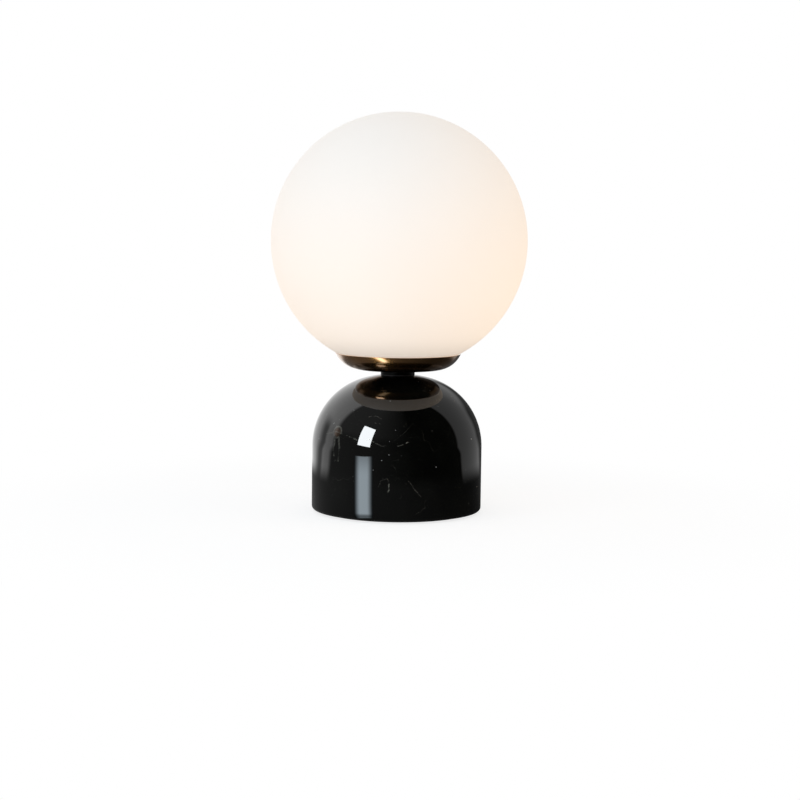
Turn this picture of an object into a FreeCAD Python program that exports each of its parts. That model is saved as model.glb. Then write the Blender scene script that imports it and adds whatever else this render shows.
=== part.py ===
import FreeCAD, Part
import math
import os
import re

import Sketcher

# Glass globe table lamp: a polished stone base, a shallow brass dish on a short black neck, and an
# opal glass globe that sits in the dish over a small two-pin capsule bulb.
# The frame is +Z up, the origin on the table under the lamp's axis, and -Y the front. Sizes are in mm.

doc = FreeCAD.newDocument("globe_lamp")
dims = doc.addObject("Spreadsheet::Sheet", "dims")

# ---------------------------------------------------------------- driving dimensions
# name, size in mm (or a count, or degrees where the name says so), what it is
DRIVING = [
    ("globe_radius", 75, "outside of the blown glass globe"),
    ("globe_wall", 3, "thickness of the glass"),
    ("mouth_radius", 30, "outside of the globe's short neck"),
    ("mouth_drop", 1.8, "how far the neck hangs below the sphere's cut edge"),
    ("glass_clearance", 0.3, "gap kept between the lift-off globe and what it sits on"),
    ("stone_radius", 50, "stone base, outside"),
    ("stone_corner", 2.3, "rounded lower edge of the stone"),
    ("shoulder_across", 8.5, "centre of the arc from the stone's side to its dome, off the axis"),
    ("crown_radius", 75, "flatter arc over the top of the dome"),
    ("crown_height", 80.5, "top of the crown arc above the stone's underside"),
    ("seat_radius", 10.6, "flat ground on the top of the dome for the neck"),
    ("pad_thickness", 1, "soft foot under the stone"),
    ("pad_inset", 6, "edge of the foot inside the stone's side"),
    ("stone_rim", 12, "stone left around the hollow in its underside"),
    ("recess_depth", 16, "depth of that hollow"),
    ("tube_radius", 5, "threaded tube that clamps the lamp together, outside"),
    ("tube_bore", 4, "radius of the wire way up the threaded tube"),
    ("tube_clearance", 0.2, "gap around the tube in the holes it passes through"),
    ("tube_stickout", 2, "tube end beyond its nuts"),
    ("nut_flats", 14, "size of the thin nuts across their flats"),
    ("nut_height", 3, "height of the thin nuts"),
    ("bush_bore", 3.2, "radius of the wire way through the tube's end bushes"),
    ("bush_flange", 0.8, "thickness of the end bushes' flange"),
    ("bush_length", 5, "length of the end bushes inside the tube"),
    ("fit_gap", 0.05, "radial gap of a piece pushed into a hole"),
    ("clamp_gap", 8, "gap around the steel clamp plate in the hollow"),
    ("clamp_thickness", 2, "its thickness"),
    ("spring_washer_radius", 8, "spring washer under the clamp plate"),
    ("spring_washer_height", 1.2, "its height"),
    ("cable_height", 8, "cable inlet above the stone's underside"),
    ("cable_hole", 4.2, "radius of the hole through the stone's back"),
    ("cable_bore", 3, "radius of the rubber grommet's hole"),
    ("grommet_flange", 6, "radius of the grommet's flange"),
    ("grommet_rim", 1.7, "thickness of that flange"),
    ("grommet_sink", 0.5, "flange face below the stone's surface"),
    ("grommet_tail", 0.5, "grommet end inside the hollow"),
    ("neck_radius", 10, "black neck between stone and dish"),
    ("neck_gasket_height", 0.5, "soft ring on the stone"),
    ("neck_height", 1.75, "black spacer ring above it"),
    ("dish_wall", 1.2, "thickness of the brass dish"),
    ("dish_seat", 11, "radius of the flat middle of the dish"),
    ("dish_floor_inset", 4, "dish's shallow floor ends this far inside the globe's neck"),
    ("dish_floor_rise", 1.5, "rise of that floor from its middle to there"),
    ("dish_rim_reach", 7, "outside of the dish's rim beyond the globe's neck"),
    ("dish_bend", 15.3, "radius of the dish's curved side, outside"),
    ("dish_side_slope", 12, "slope of that side where it leaves the floor (degrees)"),
    ("dish_washer_radius", 10, "steel washer on the dish's floor"),
    ("dish_washer_height", 1, "its height"),
    ("cushion_gap", 1.4, "gap between the globe's neck and the silicone ring it rests on"),
    ("cushion_width", 2.8, "width of the silicone ring"),
    ("gallery_radius", 22, "plate that carries the globe's springs"),
    ("gallery_thickness", 1, "its thickness"),
    ("spring_width", 7, "leaf spring, width"),
    ("spring_thickness", 0.4, "leaf spring, thickness"),
    ("spring_foot", 17.5, "radius where a leaf spring starts on its plate"),
    ("spring_height", 10, "height of the tip of a leaf spring over the plate"),
    ("spring_belly", 2.8, "height of its widest point over the plate"),
    ("spring_lean", 2.6, "how far its tip leans in from its widest point"),
    ("rivet_circle", 19.8, "radius of the circle of rivets"),
    ("rivet_radius", 0.9, "rivet shank"),
    ("rivet_head", 1.7, "radius of a rivet's head"),
    ("rivet_head_height", 0.5, "its height"),
    ("bracket_reach", 15, "half the width of the bulb holder's bracket"),
    ("bracket_depth", 14, "depth of the bracket from front to back"),
    ("bracket_thickness", 1.2, "its sheet"),
    ("bracket_height", 17, "bracket's foot to the top of its ears"),
    ("ear_length", 6.5, "the ears turned in at the bracket's top"),
    ("screw_spacing", 23, "distance between the holder's two screws"),
    ("screw_radius", 1.5, "screw shank"),
    ("screw_clearance", 0.15, "gap around the shank"),
    ("screw_head", 2.6, "radius of a screw's head"),
    ("screw_head_height", 1.8, "its height"),
    ("screw_tail", 2, "screw end below the bracket's ears"),
    ("flange_height", 4, "ceramic holder's flange"),
    ("flange_depth", 14, "flange from front to back"),
    ("flange_corner", 2, "its rounded corners"),
    ("holder_width", 17, "ceramic holder above its flange, left to right"),
    ("holder_depth", 15, "ceramic holder, front to back"),
    ("holder_height", 22, "ceramic holder, underside to top"),
    ("holder_corner", 3, "its rounded upright edges"),
    ("pin_spacing", 9, "distance between the bulb's two pins"),
    ("pin_radius", 0.5, "a pin"),
    ("pin_length", 14, "its length below the bulb"),
    ("pin_hole", 1.6, "radius of the holes in the ceramic"),
    ("contact_bore", 0.8, "radius inside a spring contact"),
    ("contact_length", 11, "length of a contact"),
    ("contact_depth", 2, "top of a contact below the ceramic's top"),
    ("bulb_gap", 0.3, "gap under the bulb's base"),
    ("bulb_radius", 8, "capsule bulb"),
    ("bulb_base_height", 12, "white base of the bulb"),
    ("bulb_base_chamfer", 1.5, "bevel around the foot of that base"),
    ("bulb_cover_height", 35.5, "clear cover over the light-emitting chips"),
    ("bulb_cover_wall", 0.8, "its thickness"),
    ("board_width", 7, "circuit board in the bulb"),
    ("board_thickness", 1, "its thickness"),
    ("board_height", 29, "its height over the base"),
    ("chip_width", 2.6, "a light-emitting chip"),
    ("chip_height", 3.4, "its height along the board"),
    ("chip_thickness", 0.8, "how far it stands off the board"),
    ("chip_pitch", 5.2, "spacing of the chips up the board"),
    ("chip_margin", 1.5, "bare board above the top chip"),
    ("chip_rows", 5, "rows of chips on each face (a count)"),
]
SPRING_COUNT = 3
SPRING_START = 90          # degrees from +X to the first leaf spring
OVERRUN = 1                # how far a cutting tool runs past the faces it cuts

for row, (name, size, meaning) in enumerate(DRIVING, start=1):
    dims.set(f"A{row}", meaning)
    dims.set(f"B{row}", str(size))
    dims.setAlias(f"B{row}", name)
doc.recompute()

# ---------------------------------------------------------------- sizes that follow from them
DERIVED = {
    # stone: the side runs up to a shoulder arc, which meets the crown arc where both have one tangent
    "crown_centre": "pad_thickness + crown_height - crown_radius",
    "shoulder_radius": "stone_radius - shoulder_across",
    "shoulder_up": "sqrt((crown_radius - shoulder_radius)^2 - shoulder_across^2)",
    "shoulder_z": "crown_centre + shoulder_up",
    "join_share": "crown_radius / (crown_radius - shoulder_radius)",
    "join_radius": "shoulder_across * join_share",
    "join_z": "crown_centre + shoulder_up * join_share",
    "seat_z": "crown_centre + sqrt(crown_radius^2 - seat_radius^2)",
    "recess_z": "pad_thickness + recess_depth",
    "cable_z": "pad_thickness + cable_height",
    "tube_hole": "tube_radius + tube_clearance",
    "pad_radius": "stone_radius - pad_inset",
    "recess_radius": "stone_radius - stone_rim",
    # clamping stack inside the base, from the hollow's ceiling downwards
    "clamp_radius": "recess_radius - clamp_gap",
    "clamp_z": "recess_z - clamp_thickness",
    "spring_washer_z": "clamp_z - spring_washer_height",
    "base_nut_z": "spring_washer_z - nut_height",
    "tube_foot_z": "base_nut_z - tube_stickout",
    # stack above the stone, from its flat seat upwards
    "spacer_z": "seat_z + neck_gasket_height",
    "dish_z": "spacer_z + neck_height",
    "dish_floor_z": "dish_z + dish_wall",
    "dish_nut_z": "dish_floor_z + dish_washer_height",
    "gallery_z": "dish_nut_z + nut_height",
    "gallery_top_z": "gallery_z + gallery_thickness",
    "bracket_nut_z": "gallery_top_z + bracket_thickness",
    "tube_head_z": "bracket_nut_z + nut_height + tube_stickout",
    "ear_z": "gallery_top_z + bracket_height",
    "holder_top_z": "ear_z + holder_height",
    "bulb_z": "holder_top_z + bulb_gap",
    "bulb_cover_z": "bulb_z + bulb_base_height",
    "bulb_top_z": "bulb_cover_z + bulb_cover_height",
    # dish: one arc from the floor's edge to the rim, and the same arc one wall thickness further in.
    # Both ends keep their distance to the globe's neck, and so does the silicone ring between them
    "dish_floor_radius": "mouth_radius - dish_floor_inset",
    "dish_rim_radius": "mouth_radius + dish_rim_reach",
    "cushion_inner": "mouth_radius + cushion_gap",
    "cushion_outer": "cushion_inner + cushion_width",
    "dish_edge_z": "dish_z + dish_floor_rise",
    "dish_inner_bend": "dish_bend - dish_wall",
    "dish_centre_r": "dish_floor_radius - dish_bend * sin(dish_side_slope * 1 deg)",
    "dish_centre_z": "dish_edge_z + dish_bend * cos(dish_side_slope * 1 deg)",
    "dish_rim_fall": "sqrt(dish_bend^2 - (dish_rim_radius - dish_centre_r)^2)",
    "dish_rim_z": "dish_centre_z - dish_rim_fall",
    # globe: its sphere just clears the dish's rim
    "globe_z": "dish_rim_z + sqrt((globe_radius + glass_clearance)^2 - dish_rim_radius^2)",
    "globe_inside": "globe_radius - globe_wall",
    "mouth_inside": "mouth_radius - globe_wall",
    "mouth_cut_z": "globe_z - sqrt(globe_radius^2 - mouth_radius^2)",
    "mouth_z": "mouth_cut_z - mouth_drop",
    "mouth_inner_z": "globe_z - sqrt(globe_inside^2 - mouth_inside^2)",
    "spring_reach": "mouth_inside - glass_clearance",
}


def formula(text):
    """The text with each size's name made a reference to the sheet, and each derived size written out."""

    def swap(found):
        word = found.group(0)
        if word in DERIVED:
            return f"({formula(DERIVED[word])})"
        if word in NAMES:
            return f"dims.{word}"
        return word

    return re.sub(r"[a-z_]+[a-z0-9_]*", swap, text)


NAMES = {name for name, size, meaning in DRIVING}


def value(text):
    """The number that a formula gives now."""
    number = dims.evalExpression(formula(text))
    return float(getattr(number, "Value", number))


def bind(item, **sizes):
    """Tie properties of an object to formulas; across, back and up are its place."""
    places = {"across": "Placement.Base.x", "back": "Placement.Base.y", "up": "Placement.Base.z"}
    for name, text in sizes.items():
        item.setExpression(places.get(name, name), formula(text))
    return item


NODES = {}


def node(item, label):
    """Name a finished piece of the lamp."""
    item.Label = label
    NODES[label] = item
    return item


# ---------------------------------------------------------------- ways of making a piece
def cylinder(name, radius, bottom, height):
    """An upright cylinder on the lamp's axis."""
    item = doc.addObject("Part::Cylinder", name)
    return bind(item, Radius=radius, Height=height, up=bottom)


def cut(name, base, tool):
    item = doc.addObject("Part::Cut", name)
    item.Base = base
    item.Tool = tool
    return item


def washer(label, outer, inner, bottom, height):
    """A flat ring on the lamp's axis."""
    body = cylinder(label + "_disc", outer, bottom, height)
    hole = cylinder(label + "_hole", inner, f"{bottom} - {OVERRUN}", f"{height} + {2 * OVERRUN}")
    return node(cut(label + "_ring", body, hole), label)


def thin_nut(label, bottom):
    """A hexagonal nut on the threaded tube."""
    prism = doc.addObject("Part::Prism", label + "_prism")
    prism.Polygon = 6
    bind(prism, Circumradius="nut_flats / 2 / cos(30 deg)", Height="nut_height", up=bottom)
    hole = cylinder(label + "_hole", "tube_radius", f"{bottom} - {OVERRUN}", f"nut_height + {2 * OVERRUN}")
    return node(cut(label + "_hex", prism, hole), label)


def new_body(label):
    return node(doc.addObject("PartDesign::Body", label + "_body"), label)


def sketch_on(body, name, role):
    """An empty sketch on one of the body's own origin planes."""
    sketch = body.newObject("Sketcher::SketchObject", name)
    plane = next(item for item in body.Origin.OriginFeatures if item.Role == role)
    sketch.AttachmentSupport = [(plane, "")]
    sketch.MapMode = "FlatFace"
    return sketch


def lock(sketch, edge, end, across, up):
    """Dimension one point of the sketch from its origin."""
    for kind, text in (("DistanceX", across), ("DistanceY", up)):
        if text == "0":
            axis = -2 if kind == "DistanceX" else -1
            sketch.addConstraint(Sketcher.Constraint("PointOnObject", edge, end, axis))
            continue
        number = sketch.addConstraint(Sketcher.Constraint(kind, -1, 1, edge, end, value(text)))
        sketch.setExpression(f"Constraints[{number}]", formula(text))


def outline(body, name, role, corners, rounds=None):
    """A closed outline with every corner dimensioned.

    corners holds (across, up) formulas in order. rounds makes the edge that starts at that corner an
    arc: (radius formula, +1 if the arc's centre is on the left on the way along, -1 if on the right).
    """
    rounds = rounds or {}
    sketch = sketch_on(body, name, role)
    spots = [FreeCAD.Vector(value(across), value(up), 0) for across, up in corners]
    starts, ends = [], []
    for index, here in enumerate(spots):
        there = spots[(index + 1) % len(spots)]
        if index not in rounds:
            sketch.addGeometry(Part.LineSegment(here, there), False)
            starts.append(1)
            ends.append(2)
            continue
        radius, side = value(rounds[index][0]), rounds[index][1]
        half = (there - here) * 0.5
        offset = math.sqrt(max(radius ** 2 - half.Length ** 2, 0)) / half.Length
        centre = here + half + FreeCAD.Vector(-half.y, half.x, 0) * offset * side
        first, last = (here, there) if side > 0 else (there, here)
        turn = [math.atan2(spot.y - centre.y, spot.x - centre.x) for spot in (first, last)]
        circle = Part.Circle(centre, FreeCAD.Vector(0, 0, 1), radius)
        sketch.addGeometry(Part.ArcOfCircle(circle, turn[0], turn[1]), False)
        starts.append(1 if side > 0 else 2)
        ends.append(2 if side > 0 else 1)
    for index in range(len(spots)):
        after = (index + 1) % len(spots)
        join = Sketcher.Constraint("Coincident", index, ends[index], after, starts[after])
        sketch.addConstraint(join)
    for index, (across, up) in enumerate(corners):
        lock(sketch, index, starts[index], across, up)
    for index, (radius, side) in rounds.items():
        number = sketch.addConstraint(Sketcher.Constraint("Radius", index, value(radius)))
        sketch.setExpression(f"Constraints[{number}]", formula(radius))
    return sketch


def turned(label, corners, rounds=None):
    """A piece turned about the lamp's axis from half of its section."""
    body = new_body(label)
    sketch = outline(body, label + "_section", "XZ_Plane", corners, rounds)
    spin = body.newObject("PartDesign::Revolution", label + "_turned")
    spin.Profile = sketch
    spin.ReferenceAxis = (sketch, ["V_Axis"])
    spin.Angle = 360
    return body


def round_hole(body, name, role, across, up, radius, kind="PartDesign::Pocket"):
    """A circle sketched on one of the body's planes, for a pad or a pocket."""
    sketch = sketch_on(body, name + "_circle", role)
    middle = FreeCAD.Vector(value(across), value(up), 0)
    sketch.addGeometry(Part.Circle(middle, FreeCAD.Vector(0, 0, 1), value(radius)), False)
    lock(sketch, 0, 3, across, up)
    number = sketch.addConstraint(Sketcher.Constraint("Radius", 0, value(radius)))
    sketch.setExpression(f"Constraints[{number}]", formula(radius))
    feature = body.newObject(kind, name)
    feature.Profile = sketch
    return feature


def block(body, name, half_width, half_depth, corner, height):
    """Add an upright block with rounded edges to the body, standing on its XY plane."""
    corners = []
    for side, end in (("", "-"), ("", ""), ("-", ""), ("-", "-")):
        straight = (f"{side}({half_width} - {corner})", f"{end}({half_depth})")
        upright = (f"{side}({half_width})", f"{end}({half_depth} - {corner})")
        # anticlockwise from the near right edge, where the arc runs from the straight to the upright side
        corners += [straight, upright] if len(corners) % 4 == 0 else [upright, straight]
    sketch = outline(body, name + "_plan", "XY_Plane", corners, {at: (corner, 1) for at in (0, 2, 4, 6)})
    pad = body.newObject("PartDesign::Pad", name)
    pad.Profile = sketch
    return bind(pad, Length=height)


# ---------------------------------------------------------------- stone base and what is inside it
def make_stone():
    """The dome, hollow underneath, with a hole for the tube and one for the cable at the back."""
    body = turned(
        "stone_base",
        [
            ("recess_radius", "pad_thickness"),
            ("stone_radius - stone_corner", "pad_thickness"),
            ("stone_radius", "pad_thickness + stone_corner"),
            ("stone_radius", "shoulder_z"),
            ("join_radius", "join_z"),
            ("seat_radius", "seat_z"),
            ("tube_hole", "seat_z"),
            ("tube_hole", "recess_z"),
            ("recess_radius", "recess_z"),
        ],
        {1: ("stone_corner", 1), 3: ("shoulder_radius", 1), 4: ("crown_radius", 1)},
    )
    # this plane's normal is -Y, and a pocket cuts against the normal, so both leave through the back
    hole = round_hole(body, "cable_way", "XZ_Plane", "0", "cable_z", "cable_hole")
    bind(hole, Length=f"stone_radius + {OVERRUN}")
    sink = round_hole(body, "flange_sink", "XZ_Plane", "0", "cable_z", "grommet_flange + tube_clearance")
    depth = "stone_radius - grommet_sink - grommet_rim"
    sink.Profile[0].setExpression("AttachmentOffset.Base.z", formula(f"-({depth})"))
    bind(sink, Length=f"grommet_sink + grommet_rim + {OVERRUN}")


def make_grommet():
    """The rubber bush that the cable comes in through: a sleeve with a flange sunk into the stone."""
    face = "(stone_radius - grommet_sink)"
    sleeve_end = "sqrt(recess_radius^2 - cable_hole^2) - grommet_tail"
    body = new_body("cable_grommet")
    sketch = outline(
        body,
        "grommet_section",
        "YZ_Plane",
        [
            (sleeve_end, "cable_bore"),
            (face, "cable_bore"),
            (face, "grommet_flange"),
            (f"{face} - grommet_rim", "grommet_flange"),
            (f"{face} - grommet_rim", "cable_hole - fit_gap"),
            (sleeve_end, "cable_hole - fit_gap"),
        ],
    )
    spin = body.newObject("PartDesign::Revolution", "grommet_turned")
    spin.Profile = sketch
    spin.ReferenceAxis = (sketch, ["H_Axis"])
    spin.Angle = 360
    bind(body, up="cable_z")


def make_base_hardware():
    pad = cylinder("foot_pad_disc", "pad_radius", "0", "pad_thickness")
    node(pad, "foot_pad")
    washer("clamp_plate", "clamp_radius", "tube_hole", "clamp_z", "clamp_thickness")
    washer("spring_washer", "spring_washer_radius", "tube_hole", "spring_washer_z", "spring_washer_height")
    thin_nut("base_nut", "base_nut_z")


def make_tube():
    """The threaded tube, and a flanged plastic bush in each end so that no edge meets the wires."""
    washer("threaded_tube", "tube_radius", "tube_bore", "tube_foot_z", "tube_head_z - tube_foot_z")
    for label, end, sign in (("lower_bush", "tube_foot_z", "-"), ("upper_bush", "tube_head_z", "+")):
        inward = "+" if sign == "-" else "-"
        corners = [
            ("bush_bore", f"{end} {sign} bush_flange"),
            ("tube_radius", f"{end} {sign} bush_flange"),
            ("tube_radius", end),
            ("tube_bore - fit_gap", end),
            ("tube_bore - fit_gap", f"{end} {inward} bush_length"),
            ("bush_bore", f"{end} {inward} bush_length"),
        ]
        turned(label, corners)


# ---------------------------------------------------------------- neck, dish and the globe's gallery
def make_neck():
    washer("neck_gasket", "neck_radius", "tube_hole", "seat_z", "neck_gasket_height")
    washer("neck_spacer", "neck_radius", "tube_hole", "spacer_z", "neck_height")


def under_glass(radius):
    """Height of the sphere that clears the glass all round, at a radius from the lamp's axis."""
    return f"globe_z - sqrt((globe_radius + glass_clearance)^2 - {radius}^2)"


def make_dish():
    """The brass bowl: flat middle, shallow floor, curved side, and a rim bevelled to follow the glass."""
    inner_rim = "dish_centre_r + sqrt(dish_inner_bend^2 - dish_rim_fall^2)"
    inner_edge = "dish_centre_r + dish_inner_bend * sin(dish_side_slope * 1 deg)"
    inner_edge_z = "dish_centre_z - dish_inner_bend * cos(dish_side_slope * 1 deg)"
    body = turned(
        "fitter_dish",
        [
            ("tube_hole", "dish_z"),
            ("dish_seat", "dish_z"),
            ("dish_floor_radius", "dish_edge_z"),
            ("dish_rim_radius", "dish_rim_z"),
            (inner_rim, "dish_rim_z"),
            (inner_edge, inner_edge_z),
            ("dish_seat", "dish_floor_z"),
            ("tube_hole", "dish_floor_z"),
        ],
        {2: ("dish_bend", 1), 4: ("dish_inner_bend", -1)},
    )
    beyond_rim = f"(dish_rim_radius + {OVERRUN})"
    bevel = outline(
        body,
        "rim_bevel_section",
        "XZ_Plane",
        [
            ("cushion_outer", under_glass("cushion_outer")),
            (beyond_rim, under_glass(beyond_rim)),
            ("cushion_outer", under_glass(beyond_rim)),
        ],
        {0: ("globe_radius + glass_clearance", 1)},
    )
    groove = body.newObject("PartDesign::Groove", "rim_bevel")
    groove.Profile = bevel
    groove.ReferenceAxis = (bevel, ["V_Axis"])
    groove.Angle = 360


def make_dish_hardware():
    washer("dish_washer", "dish_washer_radius", "tube_hole", "dish_floor_z", "dish_washer_height")
    thin_nut("dish_nut", "dish_nut_z")


def make_cushion():
    """The silicone ring between dish and globe, cut to the dish below and to the glass above."""

    def on_dish(radius):
        gap = f"(dish_inner_bend - fit_gap)^2 - ({radius} - dish_centre_r)^2"
        return f"dish_centre_z - sqrt({gap})"

    turned(
        "globe_cushion",
        [
            ("cushion_inner", on_dish("cushion_inner")),
            ("cushion_outer", on_dish("cushion_outer")),
            ("cushion_outer", under_glass("cushion_outer")),
            ("cushion_inner", under_glass("cushion_inner")),
        ],
    )


def make_gallery():
    """The plate, and the leaf springs riveted to it that centre the globe's neck."""
    plate = new_body("gallery_plate")
    pad = round_hole(plate, "gallery_disc", "XY_Plane", "0", "0", "gallery_radius", "PartDesign::Pad")
    bind(pad, Length="gallery_thickness")
    middle = round_hole(plate, "gallery_tube_hole", "XY_Plane", "0", "0", "tube_hole")
    middle.Reversed = True
    bind(middle, Length=f"gallery_thickness + {OVERRUN}")
    bind(plate, up="gallery_z")

    rivets = []
    for index in range(SPRING_COUNT):
        turn = SPRING_START + index * 360 / SPRING_COUNT
        make_spring(f"gallery_spring_{index + 1}", turn)
        spot_across = f"rivet_circle * cos({turn} deg)"
        spot_back = f"rivet_circle * sin({turn} deg)"
        name = f"rivet_hole_{index + 1}"
        hole = round_hole(plate, name, "XY_Plane", spot_across, spot_back, "rivet_radius")
        hole.Reversed = True
        bind(hole, Length=f"gallery_thickness + {OVERRUN}")
        pieces = []
        for part, radius, bottom, height in (
            ("shank", "rivet_radius", "gallery_z", "gallery_thickness + spring_thickness"),
            ("head", "rivet_head", "gallery_top_z + spring_thickness", "rivet_head_height"),
            ("tail", "rivet_head", "gallery_z - rivet_head_height", "rivet_head_height"),
        ):
            piece = cylinder(f"rivet_{part}_{index + 1}", radius, bottom, height)
            pieces.append(bind(piece, across=spot_across, back=spot_back))
        rivet = doc.addObject("Part::MultiFuse", f"rivet_{index + 1}")
        rivet.Shapes = pieces
        rivets.append(rivet)
    group = doc.addObject("Part::Compound", "rivet_group")
    group.Links = rivets
    node(group, "gallery_rivets")


def make_spring(label, turn):
    """A strip of spring steel: flat on the plate, then up and out to the glass, its tip leaning in."""
    body = new_body(label)
    foot, sheet = "0", "spring_thickness"
    knee = "spring_reach - spring_lean / 2"
    tip = "spring_reach - spring_lean"
    sketch = outline(
        body,
        label + "_side",
        "XZ_Plane",
        [
            ("spring_foot", foot),
            (knee, foot),
            ("spring_reach", "spring_belly"),
            (tip, "spring_height"),
            (f"{tip} - {sheet}", "spring_height"),
            (f"spring_reach - {sheet} * 1.05", "spring_belly"),
            (f"{knee} - {sheet}", sheet),
            ("spring_foot", sheet),
        ],
    )
    strip = body.newObject("PartDesign::Pad", label + "_strip")
    strip.Profile = sketch
    strip.Midplane = True
    bind(strip, Length="spring_width")
    hole = round_hole(body, label + "_hole", "XY_Plane", "rivet_circle", "0", "rivet_radius")
    hole.Reversed = True
    bind(hole, Length=f"spring_thickness + {OVERRUN}")
    body.Placement = FreeCAD.Placement(
        FreeCAD.Vector(0, 0, value("gallery_top_z")),
        FreeCAD.Rotation(FreeCAD.Vector(0, 0, 1), turn),
    )
    bind(body, up="gallery_top_z")


# ---------------------------------------------------------------- globe
def make_globe():
    """The blown sphere with a short neck: outer and inner spheres, joined down through the neck."""
    crown = "globe_z + globe_radius"
    turned(
        "globe",
        [
            ("mouth_inside", "mouth_z"),
            ("mouth_radius", "mouth_z"),
            ("mouth_radius", "mouth_cut_z"),
            ("globe_radius", "globe_z"),
            ("0", crown),
            ("0", f"{crown} - globe_wall"),
            ("globe_inside", "globe_z"),
            ("mouth_inside", "mouth_inner_z"),
        ],
        {
            2: ("globe_radius", 1),
            3: ("globe_radius", 1),
            5: ("globe_inside", -1),
            6: ("globe_inside", -1),
        },
    )


# ---------------------------------------------------------------- bulb holder
def make_bracket():
    """A bent steel strip: a foot on the tube, two uprights and two ears turned in at the top."""
    body = new_body("holder_bracket")
    outer, inner = "bracket_reach", "(bracket_reach - bracket_thickness)"
    ear = "(bracket_reach - ear_length)"
    under_ear = "(bracket_height - bracket_thickness)"
    half = [
        (outer, "0"),
        (outer, "bracket_height"),
        (ear, "bracket_height"),
        (ear, under_ear),
        (inner, under_ear),
        (inner, "bracket_thickness"),
    ]
    other = [(f"-{across}", up) for across, up in reversed(half)]
    sketch = outline(body, "bracket_side", "XZ_Plane", half + other)
    strip = body.newObject("PartDesign::Pad", "bracket_strip")
    strip.Profile = sketch
    strip.Midplane = True
    bind(strip, Length="bracket_depth")
    hole = round_hole(body, "bracket_tube_hole", "XY_Plane", "0", "0", "tube_hole")
    hole.Reversed = True
    bind(hole, Length=f"bracket_thickness + {OVERRUN}")
    for side, sign in (("left", "-"), ("right", "")):
        tap = round_hole(
            body,
            f"ear_hole_{side}",
            "XY_Plane",
            f"{sign}screw_spacing / 2",
            "0",
            "screw_radius + fit_gap",
        )
        tap.Profile[0].setExpression("AttachmentOffset.Base.z", formula(under_ear))
        tap.Reversed = True
        bind(tap, Length=f"bracket_thickness + {OVERRUN}")
    bind(body, up="gallery_top_z")
    thin_nut("bracket_nut", "bracket_nut_z")


def make_holder():
    """The ceramic socket: a flange with two screw holes and a block with two pin holes."""
    body = new_body("holder_body")
    block(body, "holder_flange", "bracket_reach", "flange_depth / 2", "flange_corner", "flange_height")
    block(body, "holder_block", "holder_width / 2", "holder_depth / 2", "holder_corner", "holder_height")
    for side, sign in (("left", "-"), ("right", "")):
        screw = round_hole(
            body,
            f"screw_hole_{side}",
            "XY_Plane",
            f"{sign}screw_spacing / 2",
            "0",
            "screw_radius + screw_clearance",
        )
        screw.Reversed = True
        bind(screw, Length=f"flange_height + {OVERRUN}")
        pin = round_hole(
            body, f"pin_hole_{side}", "XY_Plane", f"{sign}pin_spacing / 2", "0", "pin_hole"
        )
        pin.Reversed = True
        bind(pin, Length=f"holder_height + {OVERRUN}")
    bind(body, up="ear_z")


def make_contacts_and_screws():
    """One spring contact in each pin hole, and the two screws that hold the ceramic to the ears."""
    bottom = "holder_top_z - contact_depth - contact_length"
    screws = []
    for side, sign in (("left", "-"), ("right", "")):
        label = f"holder_contact_{side}"
        washer(label, "pin_hole - fit_gap", "contact_bore", bottom, "contact_length")
        for name in ("_disc", "_hole"):
            bind(doc.getObject(label + name), across=f"{sign}pin_spacing / 2")
        shank_z = "ear_z - bracket_thickness - screw_tail"
        shank = cylinder(
            f"screw_shank_{side}",
            "screw_radius",
            shank_z,
            "bracket_thickness + screw_tail + flange_height",
        )
        head = cylinder(
            f"screw_head_{side}", "screw_head", "ear_z + flange_height", "screw_head_height"
        )
        for piece in (shank, head):
            bind(piece, across=f"{sign}screw_spacing / 2")
        screw = doc.addObject("Part::Fuse", f"screw_{side}")
        screw.Base = shank
        screw.Tool = head
        screws.append(screw)
    group = doc.addObject("Part::Compound", "screw_group")
    group.Links = screws
    node(group, "holder_screws")


# ---------------------------------------------------------------- capsule bulb
def make_bulb():
    turned(
        "bulb_base",
        [
            ("0", "bulb_z"),
            ("bulb_radius - bulb_base_chamfer", "bulb_z"),
            ("bulb_radius", "bulb_z + bulb_base_chamfer"),
            ("bulb_radius", "bulb_cover_z"),
            ("0", "bulb_cover_z"),
        ],
    )
    dome_z = "(bulb_top_z - bulb_radius)"
    bulb_inside = "(bulb_radius - bulb_cover_wall)"
    turned(
        "bulb_cover",
        [
            (bulb_inside, "bulb_cover_z"),
            ("bulb_radius", "bulb_cover_z"),
            ("bulb_radius", dome_z),
            ("0", "bulb_top_z"),
            ("0", "bulb_top_z - bulb_cover_wall"),
            (bulb_inside, dome_z),
        ],
        {2: ("bulb_radius", 1), 4: (bulb_inside, -1)},
    )
    pins = []
    for side, sign in (("left", "-"), ("right", "")):
        pin = cylinder(f"pin_{side}", "pin_radius", "bulb_z - pin_length", "pin_length")
        pins.append(bind(pin, across=f"{sign}pin_spacing / 2"))
    group = doc.addObject("Part::Compound", "pin_group")
    group.Links = pins
    node(group, "bulb_pins")

    board = doc.addObject("Part::Box", "board_box")
    bind(board, Length="board_width", Width="board_thickness", Height="board_height")
    bind(board, across="-board_width / 2", back="-board_thickness / 2", up="bulb_cover_z")
    node(board, "bulb_board")

    chips = []
    for row in range(round(value("chip_rows"))):
        for face, back in (
            ("front", "-board_thickness / 2 - chip_thickness"),
            ("rear", "board_thickness / 2"),
        ):
            chip = doc.addObject("Part::Box", f"chip_{face}_{row + 1}")
            bind(chip, Length="chip_width", Width="chip_thickness", Height="chip_height")
            bind(
                chip,
                across="-chip_width / 2",
                back=back,
                up=f"bulb_cover_z + board_height - chip_margin - chip_height - chip_pitch * {row}",
            )
            chips.append(chip)
    group = doc.addObject("Part::Compound", "chip_group")
    group.Links = chips
    node(group, "bulb_chips")


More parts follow.
